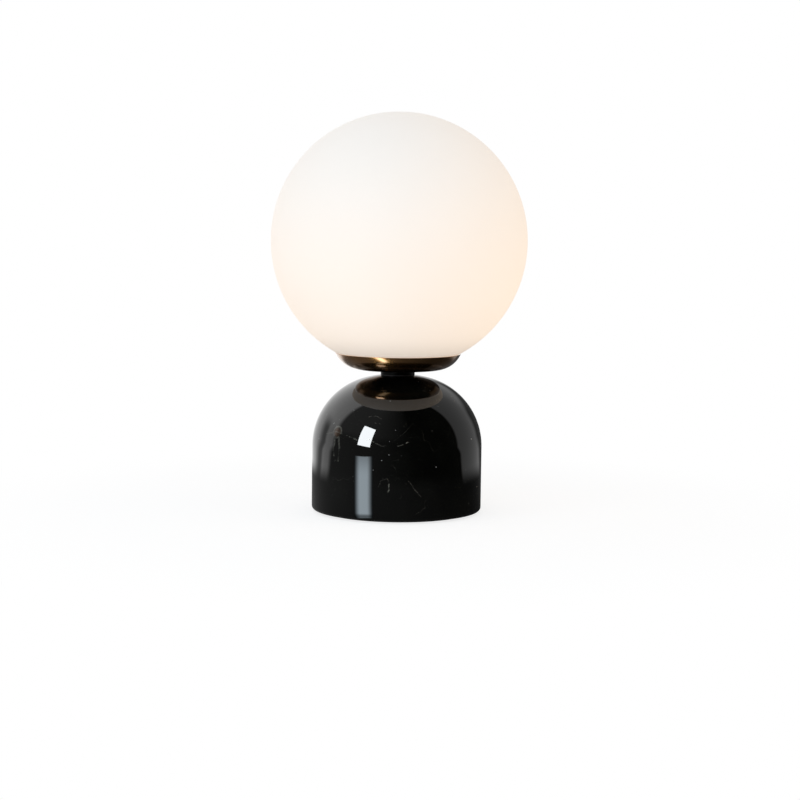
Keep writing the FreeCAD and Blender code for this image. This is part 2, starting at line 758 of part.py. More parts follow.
# ---------------------------------------------------------------- build, check and write
make_stone()
make_grommet()
make_base_hardware()
make_tube()
make_neck()
make_dish()
make_dish_hardware()
make_cushion()
make_gallery()
make_globe()
make_bracket()
make_holder()
make_contacts_and_screws()
make_bulb()
doc.recompute()

for item in doc.Objects:
    if "Invalid" in item.State or "Error" in item.State:
        raise RuntimeError(f"{item.Label} failed: {item.State}")
for label, item in NODES.items():
    if item.Shape.isNull() or not item.Shape.isValid() or not item.Shape.Solids:
        raise RuntimeError(f"{label} has no valid solid")

os.makedirs("parts", exist_ok=True)
for label, item in NODES.items():
    item.Shape.exportStep(f"parts/{label}.step")
    box = item.Shape.BoundBox
    print(f"{label:22s} {len(item.Shape.Solids)} solid(s) {item.Shape.Volume:10.1f} mm3", end="  ")
    print(f"z {box.ZMin:7.2f} to {box.ZMax:7.2f}")
print(f"{len(NODES)} nodes")
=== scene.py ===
# %% [markdown]
# # Looks of a globe table lamp
# The lamp is an opal glass ball in a shallow brass dish, on a short black neck and a domed base of
# polished black marble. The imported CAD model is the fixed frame: it says where each piece is, and
# this script gives each piece its real surface and finish. Most pieces of a lamp are turned, so most
# surfaces here are a profile carried round an upright axis, worked out with numpy.

# %% Load the frame
import math

import bmesh
import bpy
import numpy as np
from mathutils import Matrix, Vector


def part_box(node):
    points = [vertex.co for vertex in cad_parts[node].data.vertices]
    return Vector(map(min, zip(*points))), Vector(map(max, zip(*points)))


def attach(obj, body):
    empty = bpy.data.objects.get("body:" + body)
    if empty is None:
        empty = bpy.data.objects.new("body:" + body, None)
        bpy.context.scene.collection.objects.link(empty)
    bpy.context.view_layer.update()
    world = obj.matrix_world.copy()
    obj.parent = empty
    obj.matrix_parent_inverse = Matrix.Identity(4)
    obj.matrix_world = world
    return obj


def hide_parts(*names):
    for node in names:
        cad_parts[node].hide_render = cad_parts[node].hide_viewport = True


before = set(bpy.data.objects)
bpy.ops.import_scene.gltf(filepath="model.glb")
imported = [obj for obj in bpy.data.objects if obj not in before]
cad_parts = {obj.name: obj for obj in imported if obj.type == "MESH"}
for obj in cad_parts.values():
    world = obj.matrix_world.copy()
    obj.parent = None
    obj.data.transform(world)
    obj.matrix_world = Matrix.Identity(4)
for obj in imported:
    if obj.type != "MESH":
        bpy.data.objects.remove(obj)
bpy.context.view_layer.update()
MM = 0.001
print("pieces in the frame:", len(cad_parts))

# %% [markdown]
# ## From arrays to a mesh
# A surface is a grid of points: rows along a profile, columns around the axis. The faces between
# neighbours follow from the grid's size alone, so they are worked out as one array. Points that fall
# together, at a pole or a seam, are merged afterwards, which closes the surface.


# %% Grids and pieces
CREASE = 32  # degrees: a sharper edge than this is shaded as an edge
MERGE_DISTANCE = 1e-7


def grid_faces(rows, columns, joined=False):
    """Four-sided faces of a grid whose columns run round: point (i, j) is joined to (i, j + 1),
    (i + 1, j + 1) and (i + 1, j), with j counted round. joined ties the last row to the first."""
    row = np.arange(rows if joined else rows - 1)[:, None]
    column = np.arange(columns)[None, :]
    after, beside = (row + 1) % rows, (column + 1) % columns
    corners = [row * columns + column, row * columns + beside, after * columns + beside]
    return np.stack(corners + [after * columns + column], axis=-1).reshape(-1, 4)


def ring_grid(radius, height, parts=128, joined=True):
    """Turns a profile: (r, z) at angle a goes to (r cos a, r sin a, z). radius and height hold one
    value for each row, or one for each row and angle, as on a nut or a thread."""
    angle = np.linspace(0, 2 * np.pi, parts, endpoint=False)
    radius = np.asarray(radius, float).reshape(len(radius), -1) * np.ones(parts)
    height = np.asarray(height, float).reshape(len(height), -1) * np.ones(parts)
    points = np.stack([radius * np.cos(angle), radius * np.sin(angle), height], axis=-1)
    return points.reshape(-1, 3), grid_faces(len(radius), parts, joined)


def turned(profile, parts=128, joined=True):
    """The ring grid of a profile given as rows of (r, z)."""
    profile = np.asarray(profile, float)
    return ring_grid(profile[:, 0], profile[:, 1], parts, joined)


def moved(shape, across=0.0, back=0.0, up=0.0):
    """A shape set down somewhere else: the same offset is added to every point."""
    points, faces = shape
    return points + np.array([across, back, up]), faces


def clean_mesh(name, points, faces):
    """A mesh whose points are merged where they meet and whose faces all look outwards."""
    mesh = bpy.data.meshes.new(name)
    mesh.from_pydata(points.tolist(), [], faces.tolist())
    work = bmesh.new()
    work.from_mesh(mesh)
    bmesh.ops.remove_doubles(work, verts=work.verts, dist=MERGE_DISTANCE)
    bmesh.ops.recalc_face_normals(work, faces=work.faces)
    work.to_mesh(mesh)
    work.free()
    return mesh


def add_object(name, data):
    """Puts a mesh, a lamp or a camera into the scene."""
    made = bpy.data.objects.new(name, data)
    bpy.context.scene.collection.objects.link(made)
    return made


def piece(name, shapes, finish, body, nodes, crease=CREASE):
    """Joins shapes into one mesh, closes its seams and poles, and puts it into the frame: it rides on
    a body, stands for CAD nodes and takes the finish it is given."""
    starts = np.cumsum([0] + [len(points) for points, faces in shapes[:-1]])
    points = np.concatenate([points for points, faces in shapes])
    faces = np.concatenate([faces + start for (_, faces), start in zip(shapes, starts)])
    mesh = clean_mesh(name, points, faces)
    mesh.shade_smooth()
    mesh.set_sharp_from_angle(angle=math.radians(crease))
    mesh.materials.append(finish)
    made = add_object(name, mesh)
    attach(made, body)
    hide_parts(*nodes)
    print(f"{name}: {len(mesh.vertices)} points, {len(mesh.polygons)} faces")
    return made


# %% [markdown]
# ## Profiles
# A profile is a list of (r, z) points. Long curves are arcs, and every edge that a tool or a polishing
# wheel has touched is rounded, because a small round edge is what catches the light.


# %% Arcs and rounded corners
def arc(centre, radius, start, end, steps=24):
    """Points on a circle: centre + radius (cos t, sin t), with t from start to end in degrees."""
    turn = np.radians(np.linspace(start, end, steps))
    return np.array(centre) + radius * np.column_stack([np.cos(turn), np.sin(turn)])


SIDE_SHARE = 0.49  # the largest part of a side that one corner's arc takes
STRAIGHT = 1.56  # half a corner's angle, in radians, from which its two sides count as one line


def rounded(corners, radius, steps=5):
    """A closed outline whose corners become arcs tangent to both their sides. The arc starts
    radius / tan(half the corner's angle) before the corner, and its centre is on the bisector."""
    corners = np.asarray(corners, float)
    radius = np.broadcast_to(np.asarray(radius, float), len(corners))
    before, after = np.roll(corners, 1, axis=0) - corners, np.roll(corners, -1, axis=0) - corners
    outline = []
    for corner, back, on, size in zip(corners, before, after, radius):
        room = SIDE_SHARE * min(np.linalg.norm(back), np.linalg.norm(on))
        back, on = back / np.linalg.norm(back), on / np.linalg.norm(on)
        half = math.acos(float(np.clip(back @ on, -1, 1))) / 2
        if size <= 0 or half > STRAIGHT:
            outline.append(corner[None])
            continue
        reach = min(size / math.tan(half), room)
        size = reach * math.tan(half)
        centre = corner + (back + on) / np.linalg.norm(back + on) * size / math.sin(half)
        first, last = corner + back * reach - centre, corner + on * reach - centre
        sweep = math.pi - 2 * half
        share = np.linspace(0, 1, steps)[:, None]
        bend = (np.sin((1 - share) * sweep) * first + np.sin(share * sweep) * last) / math.sin(sweep)
        outline.append(centre + bend)
    return np.concatenate(outline)


def heights(node):
    """Lowest and highest z of a CAD node, and its reach from the lamp's axis."""
    low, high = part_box(node)
    return low.z, high.z, high.x


def flat_ring(node, bore, edge, parts=96):
    """A washer or plate that fills a node's box: a rectangle from the bore to the rim, with its four
    corners rounded, turned about the axis."""
    low, high, reach = heights(node)
    return turned(rounded([(bore, low), (reach, low), (reach, high), (bore, high)], edge), parts)


# %% [markdown]
# ## Wiring shader nodes
# A material is a small tree of nodes. One helper adds a node and fills its sockets, with a number, a
# colour or another node's output. Groups hold the effects that several finishes share: they put out
# masks and heights, and the Principled shader stays in each material.


# %% Node helpers
def put(tree, kind, inputs=None, **settings):
    """Adds a node. inputs says what goes into its sockets, and settings are its own properties."""
    made = tree.nodes.new("ShaderNode" + kind)
    for name, given in settings.items():
        setattr(made, name, given)
    for name, given in (inputs or {}).items():
        if isinstance(given, bpy.types.NodeSocket):
            tree.links.new(given, made.inputs[name])
        else:
            made.inputs[name].default_value = given
    return made


def maths(tree, operation, *values, clamp=False):
    """The output of one Math node."""
    inputs = dict(enumerate(values))
    return put(tree, "Math", inputs, operation=operation, use_clamp=clamp).outputs[0]


def vectors(tree, operation, *values, output="Vector"):
    """The output of one Vector Math node."""
    return put(tree, "VectorMath", dict(enumerate(values)), operation=operation).outputs[output]


def scaled(tree, vector, factor):
    """A vector times a number."""
    return put(tree, "VectorMath", {0: vector, 3: factor}, operation="SCALE").outputs["Vector"]


def split(tree, vector):
    """The x, y and z of a vector."""
    return put(tree, "SeparateXYZ", {0: vector}).outputs


def blend(tree, share, first, second):
    """A number between two numbers."""
    return put(tree, "Mix", {0: share, 2: first, 3: second}, data_type="FLOAT").outputs[0]


def blend_vector(tree, share, first, second):
    """A place between two places."""
    return put(tree, "Mix", {0: share, 4: first, 5: second}, data_type="VECTOR").outputs[1]


def blend_colour(tree, share, first, second):
    """A colour between two colours, each a triple or another node's output."""
    first, second = [(*tone, 1) if isinstance(tone, tuple) else tone for tone in (first, second)]
    return put(tree, "Mix", {0: share, 6: first, 7: second}, data_type="RGBA").outputs[2]


def noise(tree, place, scale, output="Fac", **settings):
    """A noise texture."""
    return put(tree, "TexNoise", {"Vector": place, "Scale": scale, **settings}).outputs[output]


def smooth(tree, value, low, high, start=0.0, end=1.0):
    """Carries a value from the range low..high to start..end, with soft ends."""
    inputs = {"Value": value, "From Min": low, "From Max": high, "To Min": start, "To Max": end}
    return put(tree, "MapRange", inputs, interpolation_type="SMOOTHSTEP").outputs[0]


def bump(tree, distance, height):
    """The normal of a surface with a relief of a given depth."""
    return put(tree, "Bump", {"Distance": distance, "Height": height}).outputs[0]


def wire(tree, shader, **results):
    """Links each result to the shader's socket of that name."""
    for label, given in results.items():
        tree.links.new(given, shader.inputs[label.replace("_", " ")])


def group(name, inputs, outputs):
    """An empty node group with named sockets, and its two ends."""
    made = bpy.data.node_groups.new(name, "ShaderNodeTree")
    for label, kind, default in inputs:
        socket = made.interface.new_socket(label, in_out="INPUT", socket_type="NodeSocket" + kind)
        if default is not None:
            socket.default_value = default
    for label, kind in outputs:
        made.interface.new_socket(label, in_out="OUTPUT", socket_type="NodeSocket" + kind)
    return made, made.nodes.new("NodeGroupInput").outputs


def close_group(tree, **results):
    """Wires the group's results to its outputs."""
    end = tree.nodes.new("NodeGroupOutput")
    for label, given in results.items():
        tree.links.new(given, end.inputs[label.replace("_", " ")])
    return tree


def use(tree, shared, **inputs):
    """Places a shared group in a material, with its own values."""
    made = tree.nodes.new("ShaderNodeGroup")
    made.node_tree = shared
    for label, given in inputs.items():
        socket = made.inputs[label.replace("_", " ")]
        if isinstance(given, bpy.types.NodeSocket):
            tree.links.new(given, socket)
        else:
            socket.default_value = given
    return made.outputs


# %% [markdown]
# Three groups do most of the work. Patches are soft clouds of stronger and weaker tone, as age and
# handling leave them. Grain is the fine unevenness of a moulded or ground surface. Turned lines are
# the marks of a lathe or of spinning: they circle the axis, so they depend only on the radius and the
# height, and hardly change along the way round.


# %% Shared groups
def make_patches():
    sockets = [("Vector", "Vector", None), ("Scale", "Float", 60.0)]
    limits = [("Low", "Float", 0.35), ("High", "Float", 0.65)]
    tree, given = group("patches", sockets + limits, [("Mask", "Float")])
    cloud = noise(tree, given["Vector"], given["Scale"], Detail=5.0, Roughness=0.6)
    return close_group(tree, Mask=smooth(tree, cloud, given["Low"], given["High"]))


def make_grain():
    sockets = [("Vector", "Vector", None), ("Scale", "Float", 1500.0)]
    tree, given = group("grain", sockets, [("Height", "Float")])
    return close_group(
        tree, Height=noise(tree, given["Vector"], given["Scale"], Detail=3.0, Roughness=0.65)
    )


LINE_SWAY = 0.8 * MM  # how far a turned line leaves its circle


def make_turned_lines():
    sockets = [("Vector", "Vector", None), ("Fineness", "Float", 2500.0)]
    tree, given = group("turned lines", sockets, [("Height", "Float")])
    place = split(tree, given["Vector"])
    across = maths(tree, "POWER", place[0], 2.0)
    square = maths(tree, "ADD", across, maths(tree, "POWER", place[1], 2.0))
    angle = maths(tree, "ARCTAN2", place[1], place[0])
    sway = maths(tree, "MULTIPLY", maths(tree, "SINE", angle), LINE_SWAY)
    radius = maths(tree, "ADD", maths(tree, "SQRT", square), sway)
    spot = put(tree, "CombineXYZ", {0: radius, 1: place[2], 2: 0.0}).outputs[0]
    return close_group(tree, Height=noise(tree, spot, given["Fineness"], Detail=2.0, Roughness=0.7))


PATCHES, GRAIN, TURNED_LINES = make_patches(), make_grain(), make_turned_lines()
print("shared groups:", [shared.name for shared in (PATCHES, GRAIN, TURNED_LINES)])


# %% A finish that wanders between two tones
def new_finish(name, **fixed):
    """A material with an empty Principled shader: its tree, the shader and the object's own place."""
    finish = bpy.data.materials.new(name)
    finish.use_nodes = True
    tree = finish.node_tree
    shader = tree.nodes["Principled BSDF"]
    for label, value in fixed.items():
        shader.inputs[label.replace("_", " ")].default_value = value
    return finish, tree, shader, put(tree, "TexCoord").outputs["Object"]


def plain_finish(name, dark, light, patch, rough, grain, depth, lines=False, **fixed):
    """Colour between two tones in patches of a given size, roughness between two values, and a bump
    of a given depth from grain, or from turned lines. patch, grain and depth are in mm. The relief
    has about a third of a say in the tone, and the patches have the rest."""
    finish, tree, shader, place = new_finish(name, **fixed)
    mask = use(tree, PATCHES, Vector=place, Scale=0.5 / (patch * MM))["Mask"]
    fine = 0.5 / (grain * MM)
    if lines:
        height = use(tree, TURNED_LINES, Vector=place, Fineness=fine)["Height"]
    else:
        height = use(tree, GRAIN, Vector=place, Scale=fine)["Height"]
    share = maths(tree, "MULTIPLY_ADD", height, 0.35, maths(tree, "MULTIPLY", mask, 0.65))
    roughness = smooth(tree, share, 0.0, 1.0, *rough)
    colour, normal = blend_colour(tree, share, dark, light), bump(tree, depth * MM, height)
    wire(tree, shader, Base_Color=colour, Roughness=roughness, Normal=normal)
    return finish


# %% [markdown]
# ## Polished black marble
# The stone is nearly black, with pale grey hairline veins that fade in and out, a rusty spot, and a
# few pale specks. It is polished like glass, so most of what shows is reflection. Veins are strokes
# on the stone's surface: the distance to a line, bent by a little noise, with a soft edge. Stray
# veins come from the narrow band where a noise crosses its middle value, kept only where a second
# noise is strong.

# %% Marble
SHOULDER_OFFSET, CROWN_RADIUS, SEAT_RADIUS = 8.5 * MM, 75 * MM, 10.6 * MM
stone_low, stone_high, stone_radius = heights("stone_base")
shoulder = stone_radius - SHOULDER_OFFSET
crown_z = stone_high - math.sqrt(CROWN_RADIUS**2 - SEAT_RADIUS**2)
shoulder_z = crown_z + math.sqrt((CROWN_RADIUS - shoulder) ** 2 - SHOULDER_OFFSET**2)

# A stroke goes from one place to another, each a turn in degrees from the front and a height in mm.
# Its width in mm and its strength follow.
VEIN_STROKES = [
    ((-58, 48.5), (-45, 50.5), 0.2, 0.5),
    ((-45, 50.5), (-28, 47.5), 0.22, 0.8),
    ((-28, 47.5), (-20, 47), 0.18, 0.35),
    ((-20, 48), (-15, 46.5), 0.18, 0.5),
    ((-14, 46), (-8, 44.5), 0.2, 0.5),
    ((-7.5, 45), (-3.5, 44), 0.14, 0.12),
    ((0.5, 44.5), (3.5, 45.5), 0.16, 0.4),
    ((3.5, 45.5), (8, 46.5), 0.2, 0.7),
    ((-46, 47.5), (-46.5, 37), 0.4, 0.3),
    ((-42.5, 47.5), (-41.5, 41.5), 0.42, 0.55),
    ((-41.5, 42.5), (-42, 34), 0.3, 0.25),
    ((-12.5, 19.5), (-10.5, 24.5), 0.16, 0.35),
    ((-10.5, 24.5), (-6, 26.5), 0.14, 0.15),
    ((-5.5, 26), (-4.5, 22.5), 0.2, 0.6),
    ((-4.5, 22.5), (-5, 18.5), 0.26, 0.8),
    ((7.5, 24.5), (12, 20), 0.14, 0.25),
    ((12, 20), (16.5, 16), 0.18, 0.45),
    ((-22, 60), (-16.5, 61), 0.16, 0.3),
    ((-16.5, 61), (-11.5, 59.5), 0.16, 0.3),
    ((-16.5, 57.5), (-11.5, 57), 0.14, 0.25),
]
RUSTY_SPOT = (-45, 50.5)
STONE_DARK, STONE_LIGHT = (0.0013, 0.0015, 0.0011), (0.0038, 0.0041, 0.0032)
VEIN_TONE, RUST, PALE_SPECK = (0.4, 0.38, 0.31), (0.11, 0.06, 0.035), (0.85, 0.84, 0.8)
VEIN_BEND, STROKE_SPREAD = 3.2 * MM, 2.2  # how far noise moves a vein, and its soft edge in widths
STRAY_VEINS = (  # noise scale, half the band kept, and where the second noise starts and ends
    (16.0, 0.0022, 0.5, 0.66),
    (34.0, 0.003, 0.54, 0.7),
    (75.0, 0.006, 0.58, 0.7),
)
STRAY_STRENGTH = 0.16
SPOT_CORE, SPOT_EDGE, RIM_RADIUS = 1.6 * MM, 3.4 * MM, 3.2 * MM
SPECKS = ((120.0, 0.052, 0.7), (250.0, 0.08, 0.62))  # cells per metre, size in cells, share left empty


def on_stone(turn, height):
    """The stone's surface at a turn from the front in degrees and a height in mm. The wall is upright,
    and above it the shoulder's arc has r = offset + sqrt(shoulder^2 - (z - shoulder_z)^2)."""
    turn, climb = math.radians(turn), max(height * MM - shoulder_z, 0)
    radius = SHOULDER_OFFSET + math.sqrt(shoulder**2 - climb**2)
    return Vector((math.sin(turn) * radius, -math.cos(turn) * radius, height * MM))


def make_stroke():
    """One vein: share is how far along the stroke a point lies, held between 0 and 1, and the mask
    falls from 1 on the stroke to 0 one width away."""
    sockets = [("Place", "Vector", None), ("Start", "Vector", None), ("End", "Vector", None)]
    tree, given = group("vein stroke", sockets + [("Width", "Float", 0.0004)], [("Mask", "Float")])

    along = vectors(tree, "SUBTRACT", given["End"], given["Start"])
    away = vectors(tree, "SUBTRACT", given["Place"], given["Start"])
    dots = [vectors(tree, "DOT_PRODUCT", item, along, output="Value") for item in (away, along)]
    share = maths(tree, "DIVIDE", *dots, clamp=True)
    gap = vectors(tree, "DISTANCE", away, scaled(tree, along, share), output="Value")
    return close_group(tree, Mask=smooth(tree, gap, 0.0, given["Width"], 1.0, 0.0))


def strongest(tree, first, mask, strength):
    """The larger of a mask and another one times its strength, at each place."""
    return maths(tree, "MAXIMUM", first, maths(tree, "MULTIPLY", mask, strength))


def vein_mask(tree, place, bent, broken):
    """The placed strokes and the stray veins, all broken up along their way."""
    stroke, veins = make_stroke(), 0.0
    for start, end, width, strength in VEIN_STROKES:
        ends = {"Start": on_stone(*start), "End": on_stone(*end)}
        mask = use(tree, stroke, Place=bent, Width=width * STROKE_SPREAD * MM, **ends)["Mask"]
        veins = strongest(tree, veins, mask, strength)
    for scale, band, low, high in STRAY_VEINS:
        wave = noise(tree, bent, scale, Detail=4.0)
        off = maths(tree, "ABSOLUTE", maths(tree, "SUBTRACT", wave, 0.5))
        line = smooth(tree, off, 0.0, band, STRAY_STRENGTH, 0.0)
        where = use(tree, PATCHES, Vector=place, Scale=scale * 1.7, Low=low, High=high)["Mask"]
        veins = strongest(tree, veins, line, where)
    return maths(tree, "MULTIPLY", veins, smooth(tree, broken, 0.0, 1.0, 0.35, 1.0))


def rusty_spot(tree, place, bent, broken):
    """The spot's mask, and that of the thin pale rim round it."""
    near = blend_vector(tree, 0.3, place, bent)
    near = vectors(tree, "DISTANCE", near, on_stone(*RUSTY_SPOT), output="Value")
    spot = smooth(tree, near, SPOT_CORE, SPOT_EDGE, 0.9, 0.0)
    spot = maths(tree, "MULTIPLY", spot, smooth(tree, broken, 0.0, 1.0, 0.6, 1.0))
    rim = maths(tree, "ABSOLUTE", maths(tree, "SUBTRACT", near, RIM_RADIUS))
    return spot, smooth(tree, rim, 0.1 * MM, 0.9 * MM, 0.42, 0.0)


def speck_mask(tree, bent):
    """Dots in the middle of Voronoi cells. Each cell's random colour says whether it has one, and how
    bright it is."""
    dots = 0.0
    for scale, size, empty in SPECKS:
        cells = put(tree, "TexVoronoi", {"Vector": bent, "Scale": scale}, feature="F1").outputs
        pick = put(tree, "SeparateColor", {0: cells["Color"]}).outputs
        dot = smooth(tree, cells["Distance"], 0.5 * size, size, 1.0, 0.0)
        dot = maths(tree, "MULTIPLY", dot, maths(tree, "GREATER_THAN", pick[0], empty))
        dots = strongest(tree, dots, dot, pick[1])
    return dots


def marble():
    finish, tree, shader, place = new_finish(
        "polished_marble", IOR=1.5, Coat_Roughness=0.02, Coat_IOR=1.5
    )
    shift = noise(tree, place, 170.0, "Color", Detail=5.0, Roughness=0.68)
    shift = vectors(tree, "SUBTRACT", shift, (0.5, 0.5, 0.5))
    bent = vectors(tree, "ADD", place, scaled(tree, shift, VEIN_BEND))
    broken = use(tree, PATCHES, Vector=place, Scale=380.0, Low=0.38, High=0.6)["Mask"]
    spot, rim = rusty_spot(tree, place, bent, broken)
    veins = strongest(tree, vein_mask(tree, place, bent, broken), rim, broken)
    cloud = use(tree, PATCHES, Vector=place, Scale=45.0, Low=0.4, High=0.75)["Mask"]
    colour = blend_colour(tree, cloud, STONE_DARK, STONE_LIGHT)
    for mask, tone in ((spot, RUST), (veins, VEIN_TONE), (speck_mask(tree, bent), PALE_SPECK)):
        colour = blend_colour(tree, mask, colour, tone)
    rough = maths(tree, "MULTIPLY_ADD", veins, 0.01, smooth(tree, cloud, 0.0, 1.0, 0.018, 0.03))
    wire(tree, shader, Base_Color=colour, Roughness=rough)
    return finish


# %% [markdown]
# ## Brass, glass and the small materials
# The dish is spun from sheet brass, darkened and lacquered, so its tone wanders between two browns,
# fine rings circle it, and a clear coat lies over it. The opal glass is white all through and lit
# from inside, so it has a white body and a soft glow of its own, warmer low down and dimmer where the
# dish shades it. The rest are the usual finishes of lamp parts.

# %% Finishes
GLOW_LOW, GLOW_HIGH = (0.655, 0.53, 0.415), (0.52, 0.475, 0.43)
GLOW_FADE = (115 * MM, 235 * MM)  # heights between which the low glow gives way to the high one
DISH_SHADE = (78 * MM, 108 * MM)  # heights between which the dish's shade ends
TRACK_PITCH = 1.3 * MM  # from one copper track to the next


def aged_brass():
    finish, tree, shader, place = new_finish(
        "aged_brass", Metallic=1.0, Coat_Weight=1.0, Coat_Roughness=0.08
    )
    lines = use(tree, TURNED_LINES, Vector=place, Fineness=2600.0)["Height"]
    age = use(tree, PATCHES, Vector=place, Scale=35.0, Low=0.3, High=0.7)["Mask"]
    colour = blend_colour(tree, age, (0.27, 0.12, 0.03), (0.36, 0.18, 0.055))
    colour = blend_colour(tree, smooth(tree, lines, 0.35, 0.75, 0.0, 0.25), colour, (0.2, 0.085, 0.02))
    share = maths(tree, "MULTIPLY_ADD", lines, 0.5, maths(tree, "MULTIPLY", age, 0.5))
    rough = smooth(tree, share, 0.0, 1.0, 0.15, 0.24)
    wire(tree, shader, Base_Color=colour, Roughness=rough, Normal=bump(tree, 0.0004 * MM, lines))
    return finish


def opal_glass():
    finish, tree, shader, place = new_finish(
        "opal_glass", IOR=1.5, Specular_IOR_Level=0.3, Emission_Strength=1.0
    )
    cloud = use(tree, PATCHES, Vector=place, Scale=9.0, Low=0.3, High=0.7)["Mask"]
    etch = use(tree, GRAIN, Vector=place, Scale=2600.0)["Height"]
    colour = blend_colour(tree, cloud, (0.86, 0.855, 0.84), (0.9, 0.895, 0.88))
    height = split(tree, place)[2]
    glow = blend_colour(tree, smooth(tree, height, *GLOW_FADE), GLOW_LOW, GLOW_HIGH)
    glow = blend_colour(tree, smooth(tree, height, *DISH_SHADE, 0.35, 1.0), (0, 0, 0), glow)
    rough = smooth(tree, etch, 0.3, 0.7, 0.72, 0.8)
    wire(tree, shader, Base_Color=colour, Emission_Color=glow)
    wire(tree, shader, Roughness=rough, Normal=bump(tree, 0.003 * MM, etch))
    return finish


def circuit_board():
    """White solder mask with thin copper tracks under it: bands of the height, at both sides."""
    finish, tree, shader, place = new_finish("circuit_board")
    spot = split(tree, place)
    wave = maths(tree, "SINE", maths(tree, "MULTIPLY", spot[2], 2 * math.pi / TRACK_PITCH))
    side = smooth(tree, maths(tree, "ABSOLUTE", spot[0]), 2.2 * MM, 2.4 * MM)
    track = maths(tree, "MULTIPLY", smooth(tree, wave, 0.5, 0.8), side)
    colour = blend_colour(tree, track, (0.78, 0.79, 0.76), (0.62, 0.6, 0.5))
    rough = smooth(tree, track, 0.0, 1.0, 0.45, 0.3)
    wire(tree, shader, Base_Color=colour, Roughness=rough, Normal=bump(tree, 0.03 * MM, track))
    return finish


def light_chip():
    """A lit yellow phosphor window, down the middle of each chip's white frame."""
    finish, tree, shader, place = new_finish("light_chip", Emission_Strength=3.0)
    across = maths(tree, "ABSOLUTE", split(tree, place)[0])
    window = smooth(tree, across, 0.85 * MM, 1.05 * MM, 1.0, 0.0)
    grain = use(tree, GRAIN, Vector=place, Scale=4000.0)["Height"]
    colour = blend_colour(tree, window, (0.85, 0.84, 0.8), (0.9, 0.68, 0.22))
    glow = blend_colour(tree, window, (0.12, 0.11, 0.09), (1.0, 0.86, 0.6))
    rough = smooth(tree, grain, 0.3, 0.7, 0.3, 0.5)
    wire(tree, shader, Base_Color=colour, Emission_Color=glow, Roughness=rough)
    return finish


METAL = {"Metallic": 1.0}
PLAIN_FINISHES = [  # name, dark and light tone, patch in mm, roughness, grain and depth in mm, the rest
    ("foot_foam", (0.012, 0.012, 0.013), (0.035, 0.034, 0.033), 6, (0.85, 1.0), 0.5, 0.15, {}),
    ("zinc_steel", (0.42, 0.44, 0.47), (0.68, 0.68, 0.66), 3, (0.28, 0.46), 0.3, 0.01,
     {"lines": True, **METAL}),
    ("black_rubber", (0.01, 0.01, 0.01), (0.028, 0.027, 0.026), 4, (0.5, 0.75), 0.2, 0.02, {}),
    ("white_nylon", (0.66, 0.65, 0.6), (0.76, 0.75, 0.7), 3, (0.4, 0.55), 0.25, 0.01,
     {"Subsurface_Weight": 0.15, "Subsurface_Scale": 0.001}),
    # the neck's finish: tones held near zero, the spacer's own black together with painted shade from the
    # dish above it
    ("black_metal", (0.0008, 0.0008, 0.0008), (0.002, 0.002, 0.0018), 3, (0.42, 0.55), 0.25, 0.006,
     {"lines": True, "Specular_IOR_Level": 0.12}),
    ("clear_silicone", (0.62, 0.6, 0.55), (0.76, 0.74, 0.69), 4, (0.25, 0.4), 0.4, 0.01,
     {"Subsurface_Weight": 0.4, "Subsurface_Scale": 0.002}),
    ("spring_steel", (0.36, 0.37, 0.4), (0.6, 0.6, 0.6), 2, (0.2, 0.36), 0.12, 0.005, METAL),
    ("rivet_brass", (0.45, 0.31, 0.13), (0.72, 0.55, 0.27), 1, (0.25, 0.4), 0.15, 0.01, METAL),
    ("white_ceramic", (0.72, 0.7, 0.65), (0.84, 0.83, 0.79), 5, (0.16, 0.34), 0.6, 0.02,
     {"Coat_Weight": 0.5, "Coat_Roughness": 0.08}),
    ("contact_bronze", (0.4, 0.24, 0.12), (0.66, 0.45, 0.25), 1, (0.25, 0.4), 0.15, 0.01, METAL),
    ("bulb_white", (0.74, 0.74, 0.72), (0.84, 0.84, 0.82), 4, (0.35, 0.5), 0.3, 0.01, {}),
    ("bulb_clear", (0.93, 0.94, 0.95), (0.98, 0.98, 0.98), 6, (0.03, 0.08), 0.8, 0.004,
     {"Transmission_Weight": 1.0, "IOR": 1.46}),
    ("pin_nickel", (0.5, 0.49, 0.46), (0.72, 0.71, 0.68), 1, (0.15, 0.3), 0.1, 0.004, METAL),
]
FINISHES = {
    "black_stone": marble(),
    "aged_brass": aged_brass(),
    "opal_glass": opal_glass(),
    "circuit_board": circuit_board(),
    "light_chip": light_chip(),
}
for name, *values, rest in PLAIN_FINISHES:
    FINISHES[name] = plain_finish(name, *values, **rest)
print("finishes:", len(FINISHES))


def fit(name, node, shapes, slot, body="base", crease=CREASE):
    """Makes a piece that stands for a CAD node, with the finish of its slot."""
    return piece(name, shapes, FINISHES[slot], body, [node], crease)


# %% [markdown]
# ## The marble base
# The real base is turned from a block and polished. Its profile runs up a straight wall into a
# shoulder arc, and from there into a flatter crown arc, with one tangent where they meet, because a
# polished surface shows any kink as a broken reflection. Underneath it is hollow. The tube's hole is
# part of the profile. The cable's hole is drilled from the side, so it is cut from the finished solid.


# %% Stone
def drilled(made, *drills):
    """Cuts closed shapes out of a piece, and keeps the result in its own mesh."""
    cutters = []
    for drill in drills:
        cutters.append(add_object("drill", clean_mesh("drill", *drill)))
        cutting = made.modifiers.new("cut", "BOOLEAN")
        cutting.operation, cutting.solver, cutting.object = "DIFFERENCE", "EXACT", cutters[-1]
    bpy.context.view_layer.update()
    whole = made.evaluated_get(bpy.context.evaluated_depsgraph_get())
    result = bpy.data.meshes.new_from_object(whole)
    made.modifiers.clear()
    made.data = result
    result.set_sharp_from_angle(angle=math.radians(CREASE))
    for cutter in cutters:
        bpy.data.objects.remove(cutter)
    return made


def rod(radius, low, high, parts=64):
    """A closed upright cylinder, as a profile from the axis to the axis."""
    return turned([(0, low), (radius, low), (radius, high), (0, high)], parts, joined=False)


